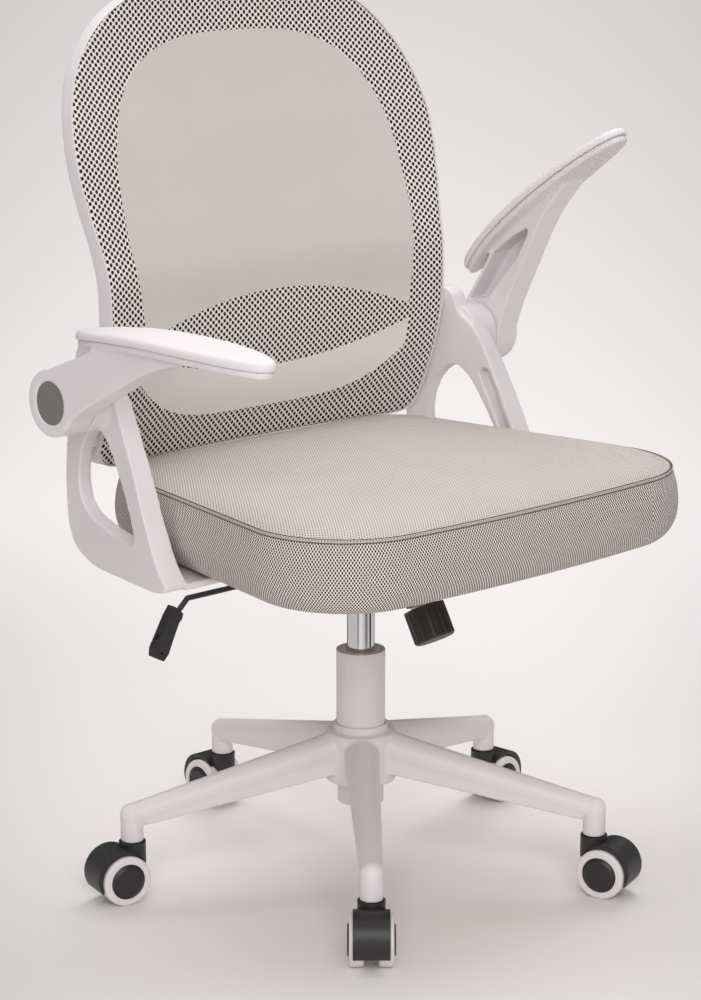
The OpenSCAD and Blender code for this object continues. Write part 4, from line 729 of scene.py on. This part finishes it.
class CHAIR_OT_seat(bpy.types.Operator):
    """Makes the seat's upholstery: side panel, welt and crowned top panel"""
    bl_idname = "chair.seat"
    bl_label = "Seat"

    def execute(self, context):
        s = SEAT
        low = s["seam"] - s["side"]
        ring = seat_loop()
        mid = np.array([0.0, (s["rear"] - s["front"]) / 2])
        side_rows = np.array([
            [-4.6, 0.0], [-2.3, 0.035], [-0.6, 0.13], [0.6, 0.30], [1.0, 0.50],
            [0.8, 0.72], [0.25, 0.90], [0.02, 0.96]])
        side = catmull(side_rows, np.linspace(0, 1, 60))
        welt = context.scene.chair_shapes.welt
        wide, fine = EYELET_SIDE, EYELET_TOP
        seam = s["seam"]
        rows = [(g * s["belly"], 1.0, low + share * s["side"], wide, 0.0) for g, share in side]
        rows += [(out, 1.0, seam + up, wide, stitch) for out, up, stitch in (
            (-0.2, -welt - 1.0, 0.0), (-0.5, -welt - 0.6, 0.2), (-1.0, -welt - 0.35, 1.0),
            (-1.6, -welt - 0.2, 1.0))]
        for a in np.radians(np.linspace(-72, 160, 14)):
            rows.append((-welt + welt * math.cos(a), 1.0, seam + welt * math.sin(a), fine,
                         1.0 if math.degrees(a) < -71 or 46 < math.degrees(a) < 126 else 0.0))
        rows += [(out - 2 * welt, 1.0, seam + up, fine, stitch) for out, up, stitch in (
            (-0.1, -0.1, 0.0), (-0.5, -0.1, 0.0), (-1.0, 0.2, 0.0), (-1.4, 0.55, 0.0))]
        first_top = len(rows)
        for share in np.concatenate([np.linspace(0.998, 0.86, 24), np.linspace(0.84, 0.02, 34)]):
            rise = 1 - 0.55 * share ** 6 - 0.45 * share ** 26
            rows.append((-5.6, share, seam + 0.7 + rise * (s["crown"] - 0.3), fine, 0.0))
        levels = []
        for g, share, z, eyelet, stitch in rows:
            p = mid + (ring(g) - mid) * share
            levels.append(np.column_stack([p, np.full(len(p), z)]))
        grid = np.array(levels)
        nu, nv = grid.shape[:2]
        bottom = np.array([mid[0], mid[1], low])
        crest = np.array([mid[0], mid[1], rows[-1][2]])
        verts = np.concatenate([grid.reshape(-1, 3), [bottom, crest]])
        faces = grid_faces(nu, nv, False, True)
        flat = grid.reshape(-1, 3)
        run = np.linalg.norm(np.diff(grid[30], axis=0, append=grid[30][:1]), axis=1)
        along = np.concatenate([[0], np.cumsum(run)])
        drop = np.concatenate([[0], np.cumsum(np.linalg.norm(
            np.diff(grid[:, 0], axis=0), axis=1))])
        row_of = faces // nv
        col_of = faces % nv
        lead = col_of[:, :1]
        wrapped = (col_of < lead) & (lead == nv - 1)
        u_side = along[np.where(wrapped, nv, col_of)]
        v_side = drop[row_of] * SIDE_STRETCH
        planar = flat[faces]
        is_top = (row_of[:, :1] >= first_top)
        uv_u = np.where(is_top, planar[..., 0], u_side)
        uv_v = np.where(is_top, planar[..., 1], v_side)
        uv = np.stack([uv_u, uv_v], axis=-1).reshape(-1, 2) * MM
        j = np.arange(nv)
        k = (j + 1) % nv
        under = np.stack([j, k, np.full(nv, nu * nv)], axis=-1)
        end = (nu - 1) * nv
        over = np.stack([end + k, end + j, np.full(nv, nu * nv + 1)], axis=-1)
        uv_more = np.concatenate([verts[under][..., :2].reshape(-1, 2),
                                  verts[over][..., :2].reshape(-1, 2)]) * MM
        all_faces = faces.tolist() + under.tolist() + over.tolist()
        uv_all = np.concatenate([uv, uv_more])
        if volume_sign(verts, all_faces) < 0:
            sizes = [len(f) for f in all_faces]
            starts = np.concatenate([[0], np.cumsum(sizes)])
            order = np.concatenate([np.arange(a, a + n)[::-1]
                                    for a, n in zip(starts, sizes)])
            uv_all = uv_all[order]
            all_faces = [f[::-1] for f in all_faces]
        marks = [(key, np.append(np.repeat([r[k] for r in rows], nv), [rows[0][k], rows[-1][k]]))
                 for key, k in (("eyelet", 3), ("stitch", 4))]
        cushion = mesh_object("seat_upholstery", verts, all_faces, uv=uv_all, attributes=marks)
        dress(cushion, "seat_fabric", "seat", ["seat_cushion"])
        return {"FINISHED"}


class CHAIR_OT_back(bpy.types.Operator):
    """Makes the back's frame with its lugs and the mesh stretched over it"""
    bl_idname = "chair.back"
    bl_label = "Back"

    def execute(self, context):
        b = BACK
        loop = back_loop(BACK_POINTS)
        q = outward(loop)
        size = np.array([b["half"], b["high"]])
        depth = rim_depth(loop[:, 1])

        def at(out, behind):
            moved = loop + q * np.asarray(out)[..., None] / size
            return back_point(moved[:, 0], moved[:, 1], behind)

        lip, inner_x = b["lip"], b["lip"] - b["rim"]
        section = []
        for out, behind, whole, radius, start in (
                (LIP_ROUND, LIP_ROUND, 0, LIP_ROUND, 180),
                (lip - LIP_ROUND, LIP_ROUND, 0, LIP_ROUND, 90),
                (lip - RIM_ROUND, -RIM_ROUND, 1, RIM_ROUND, 0),
                (inner_x + RIM_ROUND, -RIM_ROUND, 1, RIM_ROUND, -90)):
            for a in np.radians(np.linspace(start, start - 90, 7)):
                section.append((out + radius * math.cos(a), behind - radius * math.sin(a), whole))
        ledge = b["mesh"] + 0.5
        section += [(inner_x, ledge + 0.7, 0), (inner_x + 0.8, ledge, 0), (-0.2, ledge, 0),
                    (0.0, ledge - 0.3, 0)]
        rows = np.stack([at(out, behind + whole * depth) for out, behind, whole in section],
                        axis=1)
        ring = closed_shell("back_rim", rows)
        dress(ring, "white_plastic", "seat", ["back_frame"])

        mesh_loop = back_loop(BACK_POINTS)
        centre = np.array([0.0, 0.48])
        reach = np.concatenate([np.linspace(0, 0.9, 100)[1:], np.linspace(0.9, 1.0, 24)[1:]])
        inner = 1 - 0.55 / b["half"]
        spots = centre + (mesh_loop * [inner, 0.998] + [0, 0.001] - centre) * reach[:, None, None]
        w, h = spots[..., 0], spots[..., 1]
        edge = np.clip((reach - 0.975) / 0.025, 0, 1)[:, None] ** 2
        grid = back_point(w, h, 0.25 + 1.1 * edge)
        nu, nv = grid.shape[:2]
        pole = back_point(np.array([centre[0]]), np.array([centre[1]]), 0.25)[0]
        verts = np.concatenate([grid.reshape(-1, 3), [pole]])
        faces = grid_faces(nu, nv, False, True)
        j = np.arange(nv)
        k = (j + 1) % nv
        fan = np.stack([j, k, np.full(nv, nu * nv)], axis=-1)
        flat_w = np.append(w.ravel(), centre[0])
        flat_h = np.append(h.ravel(), centre[1])
        uv_point = np.stack([flat_w * b["half"], flat_h * b["high"]], axis=-1) * MM
        all_faces = faces.tolist() + fan.tolist()
        normal = np.cross(verts[faces[0][1]] - verts[faces[0][0]],
                          verts[faces[0][3]] - verts[faces[0][0]])
        if normal[1] > 0:
            all_faces = [f[::-1] for f in all_faces]
        uv = uv_point[np.concatenate([np.asarray(f) for f in all_faces])]
        cloth = mesh_object("back_mesh_panel", verts, all_faces, uv=uv,
                            attributes=[("dotted", dotted(flat_w, flat_h))])
        thick = cloth.modifiers.new("cloth thickness", "SOLIDIFY")
        thick.thickness = CLOTH_THICK * MM
        thick.offset = -1.0
        dress(cloth, "mesh", "seat", ["back_mesh"])

        for side in (-1, 1):
            for z in LUG["heights"]:
                share = (z - b["low"]) / b["high"]
                y = float(back_rest_y(np.array([share]))[0] + b["dish"] * (1 - b["waist"] ** 2)
                          + rim_depth(share) / 2)
                end = frame_in_x(y) - LUG["gap"]
                start = end - LUG["long"]
                a = np.radians(np.linspace(0, 360, 40, endpoint=False))
                turn = np.stack([0 * a, np.cos(a), np.sin(a)], axis=-1)
                rows = [np.array([side * x, y, z]) + turn * rad
                        for x, rad in ((start, LUG["r"]), (end - 0.7, LUG["r"]),
                                       (end, LUG["r"] - 0.7))]
                lug = closed_shell("back_lug_%s_%d" % ("left" if side > 0 else "right", z),
                                   np.array(rows), np.array([side * start, y, z]),
                                   np.array([side * end, y, z]))
                dress(lug, "white_plastic", "seat")
        return {"FINISHED"}


def dotted(w, h):
    """Signed distance, in shares of the half width, from the two close-knit zones: above
    zero in the dotted band round them and in the lens between them. The upper zone is a
    superellipse cut off below by an arc; the lower one lies between two bowed lines."""
    a = np.abs(w)
    lens_top = 0.337 - 0.129 * w * w
    lens_low = 0.167 + 0.109 * w * w
    high = np.clip((h - 0.456) / 0.4255, 0, None)
    side = 0.80 - 0.253 * np.clip(0.456 - h, 0, 1)
    upper = 1 - ((a / side) ** 3 + high ** 3) ** (1 / 3)
    upper = np.minimum(upper * 0.8, (h - lens_top) * 1.9)
    floor = 0.072 + 0.089 * (a / 0.74) ** 4
    lower = np.minimum(np.minimum(lens_low - h, h - floor) * 1.9, 0.76 - a)
    return -np.maximum(upper, lower)


def arm_pad(side, flip):
    """Arm pad: leaf-shaped outline, a superellipse narrower towards its ends, lofted from
    the parting line over a rounded edge to a crown that follows the pad's arch."""
    a = np.radians(np.linspace(0, 360, 160, endpoint=False))
    power = 2 / ARM["power"]
    cx = np.sign(np.cos(a)) * np.abs(np.cos(a)) ** power
    sy = np.sign(np.sin(a)) * np.abs(np.sin(a)) ** power
    half_w, half_l, taper = ARM["width"] / 2, ARM["length"] / 2, ARM["taper"]

    def level(g, z, share=1.0):
        plan = np.stack([(half_w + g) * cx * (1 - taper * sy - taper * sy * sy),
                         (half_l + g) * sy], axis=-1) * share
        y = plan[:, 1]
        arch = np.where(y > 0, ARM["arch_rear"], ARM["arch_front"])
        return np.column_stack([plan, z - arch * (y / half_l) ** 2])

    low = 0.3 - ARM["thick"] * ARM["tray"]
    edge, crown = 1.6, 7.0
    rows = [level(-4.5, low), level(-edge - 1.0, low)]
    for t in np.radians(np.linspace(-90, 0, 6)):
        rows.append(level(edge * (math.cos(t) - 1), low + edge * (1 + math.sin(t))))
    wall = low + edge + 1.2
    for t in np.radians(np.linspace(0, 90, 16)):
        rows.append(level(crown * (math.cos(t) - 1), wall + (-0.5 - wall) * math.sin(t)))
    for share in np.linspace(0.97, 0.04, 26):
        rows.append(level(-crown, -0.5 * share ** 4, share))
    mid = np.array([ARM["outer"] + ARM["over"] - half_w, ARM["y"] - ARM["gap"] - half_l,
                    ARM["z"] + ARM["rise"]])
    t = math.radians(flip)
    turned = []
    for p in (np.array(rows) + mid, mid + [0, 0, low], mid):
        y, z = p[..., 1] - ARM["y"], p[..., 2] - ARM["z"]
        turned.append(np.stack([side * p[..., 0],
                                ARM["y"] + y * math.cos(t) + z * math.sin(t),
                                ARM["z"] - y * math.sin(t) + z * math.cos(t)], axis=-1))
    return closed_shell("arm_pad_skin_" + ("left" if side > 0 else "right"), *turned)


class CHAIR_OT_armrests(bpy.types.Operator):
    """Makes the arm pads and the softened shells of the armrests"""
    bl_idname = "chair.armrests"
    bl_label = "Armrests"

    def execute(self, context):
        voxel = context.scene.chair_shapes.voxel
        for side, name, flip in ((1, "left", ARM["flip"]), (-1, "right", 0.0)):
            body = "armrest_%s_body" % name
            pad = arm_pad(side, flip)
            dress(pad, "pad_plastic", body, ["arm_pad_" + name])
            shell = moulded("armrest_shell_" + name, ["armrest_" + name], voxel, 10, 0.45)
            dress(shell, "white_plastic", body, ["armrest_" + name])
        return {"FINISHED"}


def bushing_skin():
    """Guide bushing of the column: a closed ring turned about Z, almost flush with the
    tube's rim, with small notches along its outer edge from a raised cosine."""
    c = COLLAR
    a = np.radians(np.linspace(0, 360, 192, endpoint=False))
    dent = c["dent"] * np.clip((np.cos(c["dents"] * a) - 0.75) / 0.25, 0, 1)
    rows = []
    for radius, z, cut in ((c["hole"], c["low"], 0), (c["hole"], c["top"] - c["round"], 0),
                           (c["hole"] + c["round"], c["top"], 0),
                           (c["out"] - c["round"], c["top"], 1),
                           (c["out"], c["top"] - c["round"], 1), (c["out"], c["top"] - 3, 1),
                           (c["out"], c["top"] - 3.3, 0), (c["out"], c["low"], 0)):
        r = radius - cut * dent
        rows.append(np.stack([r * np.cos(a), r * np.sin(a), z + 0 * a], axis=-1))
    return closed_shell("column_bushing_skin", np.array(rows))


class CHAIR_OT_frames(bpy.types.Operator):
    """Makes the softened shells of the arm frames and of the base"""
    bl_idname = "chair.frames"
    bl_label = "Arm frames and base"

    def execute(self, context):
        voxel = context.scene.chair_shapes.voxel
        for name in ("left", "right"):
            shell = moulded("arm_frame_shell_" + name, ["arm_frame_" + name], voxel, 10, 0.45)
            dress(shell, "white_plastic", "seat", ["arm_frame_" + name])
        base = moulded("base_shell", ["five_star_base"], voxel * 1.15, 8, 0.4, BASE_THINNING)
        dress(base, "white_plastic", "base", ["five_star_base"])
        dress(bushing_skin(), "white_plastic", "base", ["column_bushing"])
        return {"FINISHED"}


class CHAIR_OT_stage(bpy.types.Operator):
    """Makes the floor, the lamps, the room's light and the camera"""
    bl_idname = "chair.stage"
    bl_label = "Stage"

    def execute(self, context):
        look = context.scene.chair_stage
        scene = context.scene
        bpy.ops.mesh.primitive_plane_add(size=FLOOR_SIDE, location=(0, 0, 0))
        floor = context.active_object
        floor.name = "floor"
        floor.data.materials.append(floor_paper())

        world = bpy.data.worlds.new("room")
        scene.world = world
        world.use_nodes = True
        back = world.node_tree.nodes["Background"]
        back.inputs["Color"].default_value = (1.0, 1.0, 1.0, 1.0)
        back.inputs["Strength"].default_value = look.sky

        def aimed(name, data, place, target):
            obj = bpy.data.objects.new(name, data)
            scene.collection.objects.link(obj)
            obj.location = place
            aim = Vector(target) - Vector(place)
            obj.rotation_euler = aim.to_track_quat("-Z", "Y").to_euler()
            return obj

        def lamp(name, place, target, size, power):
            data = bpy.data.lights.new(name, "AREA")
            data.shape = "RECTANGLE"
            data.size = data.size_y = size
            data.energy = power
            aimed(name, data, place, target)

        for name, (place, target, size) in LAMPS.items():
            lamp(name, place, target, size, getattr(look, name))
        for k, (turn, reach, wide, tone) in enumerate(FLAGS):
            a = math.radians(turn)
            mesh = bpy.data.meshes.new("flag_%d" % k)
            mesh.from_pydata([(-wide / 2, 0, FLAG_LOW), (wide / 2, 0, FLAG_LOW),
                              (wide / 2, 0, FLAG_HIGH), (-wide / 2, 0, FLAG_HIGH)],
                             [], [(0, 1, 2, 3)])
            flag = bpy.data.objects.new("flag_%d" % k, mesh)
            scene.collection.objects.link(flag)
            flag.location = (reach * math.cos(a), reach * math.sin(a), 0)
            flag.rotation_euler = (0, 0, a + math.pi / 2)
            for seen in ("camera", "diffuse", "transmission", "volume_scatter", "shadow"):
                setattr(flag, "visible_" + seen, False)
            card = Finish("finish_flag_%d" % k)
            card.bsdf.inputs["Roughness"].default_value = 1.0
            grain = card.noise(card.place(), 8.0, 2.0)
            card.link(card.mix(grain, linear(tone, tone, tone), linear(*(tone * 0.9,) * 3)),
                      card.bsdf.inputs["Base Color"])
            mesh.materials.append(card.mat)

        cam = bpy.data.cameras.new("photo_camera")
        cam.sensor_fit = "VERTICAL"
        cam.sensor_height = CAMERA["sensor"]
        cam.sensor_width = CAMERA["sensor"]
        cam.lens = CAMERA["lens"]
        cam.clip_end = 100.0
        eye = bpy.data.objects.new("photo_camera", cam)
        scene.collection.objects.link(eye)
        eye.location = CAMERA["place"]
        look_at = Vector(CAMERA["towards"])
        eye.rotation_euler = look_at.to_track_quat("-Z", "Y").to_euler()
        scene.camera = eye
        scene.view_settings.view_transform = "Standard"
        return {"FINISHED"}


OPERATORS = (CHAIR_OT_finishes, CHAIR_OT_seat, CHAIR_OT_back, CHAIR_OT_armrests,
             CHAIR_OT_frames, CHAIR_OT_stage)


class CHAIR_PT_panel(bpy.types.Panel):
    """Lists the chair's operators and settings"""
    bl_idname = "CHAIR_PT_panel"
    bl_label = "Office chair"
    bl_space_type = "VIEW_3D"
    bl_region_type = "UI"
    bl_category = "Chair"

    def draw(self, context):
        for key in ("white", "cloth", "mesh"):
            self.layout.prop(context.scene.chair_colours, key)
        for key in ("voxel", "welt"):
            self.layout.prop(context.scene.chair_shapes, key)
        for key in ("overhead", "front", "behind", "sky"):
            self.layout.prop(context.scene.chair_stage, key)
        for op in OPERATORS:
            self.layout.operator(op.bl_idname)


CLASSES = (ChairColours, ChairShapes, ChairStage) + OPERATORS + (CHAIR_PT_panel,)


def register():
    for c in CLASSES:
        bpy.utils.register_class(c)
    bpy.types.Scene.chair_colours = bpy.props.PointerProperty(type=ChairColours)
    bpy.types.Scene.chair_shapes = bpy.props.PointerProperty(type=ChairShapes)
    bpy.types.Scene.chair_stage = bpy.props.PointerProperty(type=ChairStage)


def unregister():
    for key in ("chair_colours", "chair_shapes", "chair_stage"):
        delattr(bpy.types.Scene, key)
    for c in reversed(CLASSES):
        bpy.utils.unregister_class(c)


def main():
    register()
    for op in OPERATORS:
        getattr(bpy.ops.chair, op.bl_idname.split(".")[1])()


if __name__ == "__main__":
    main()
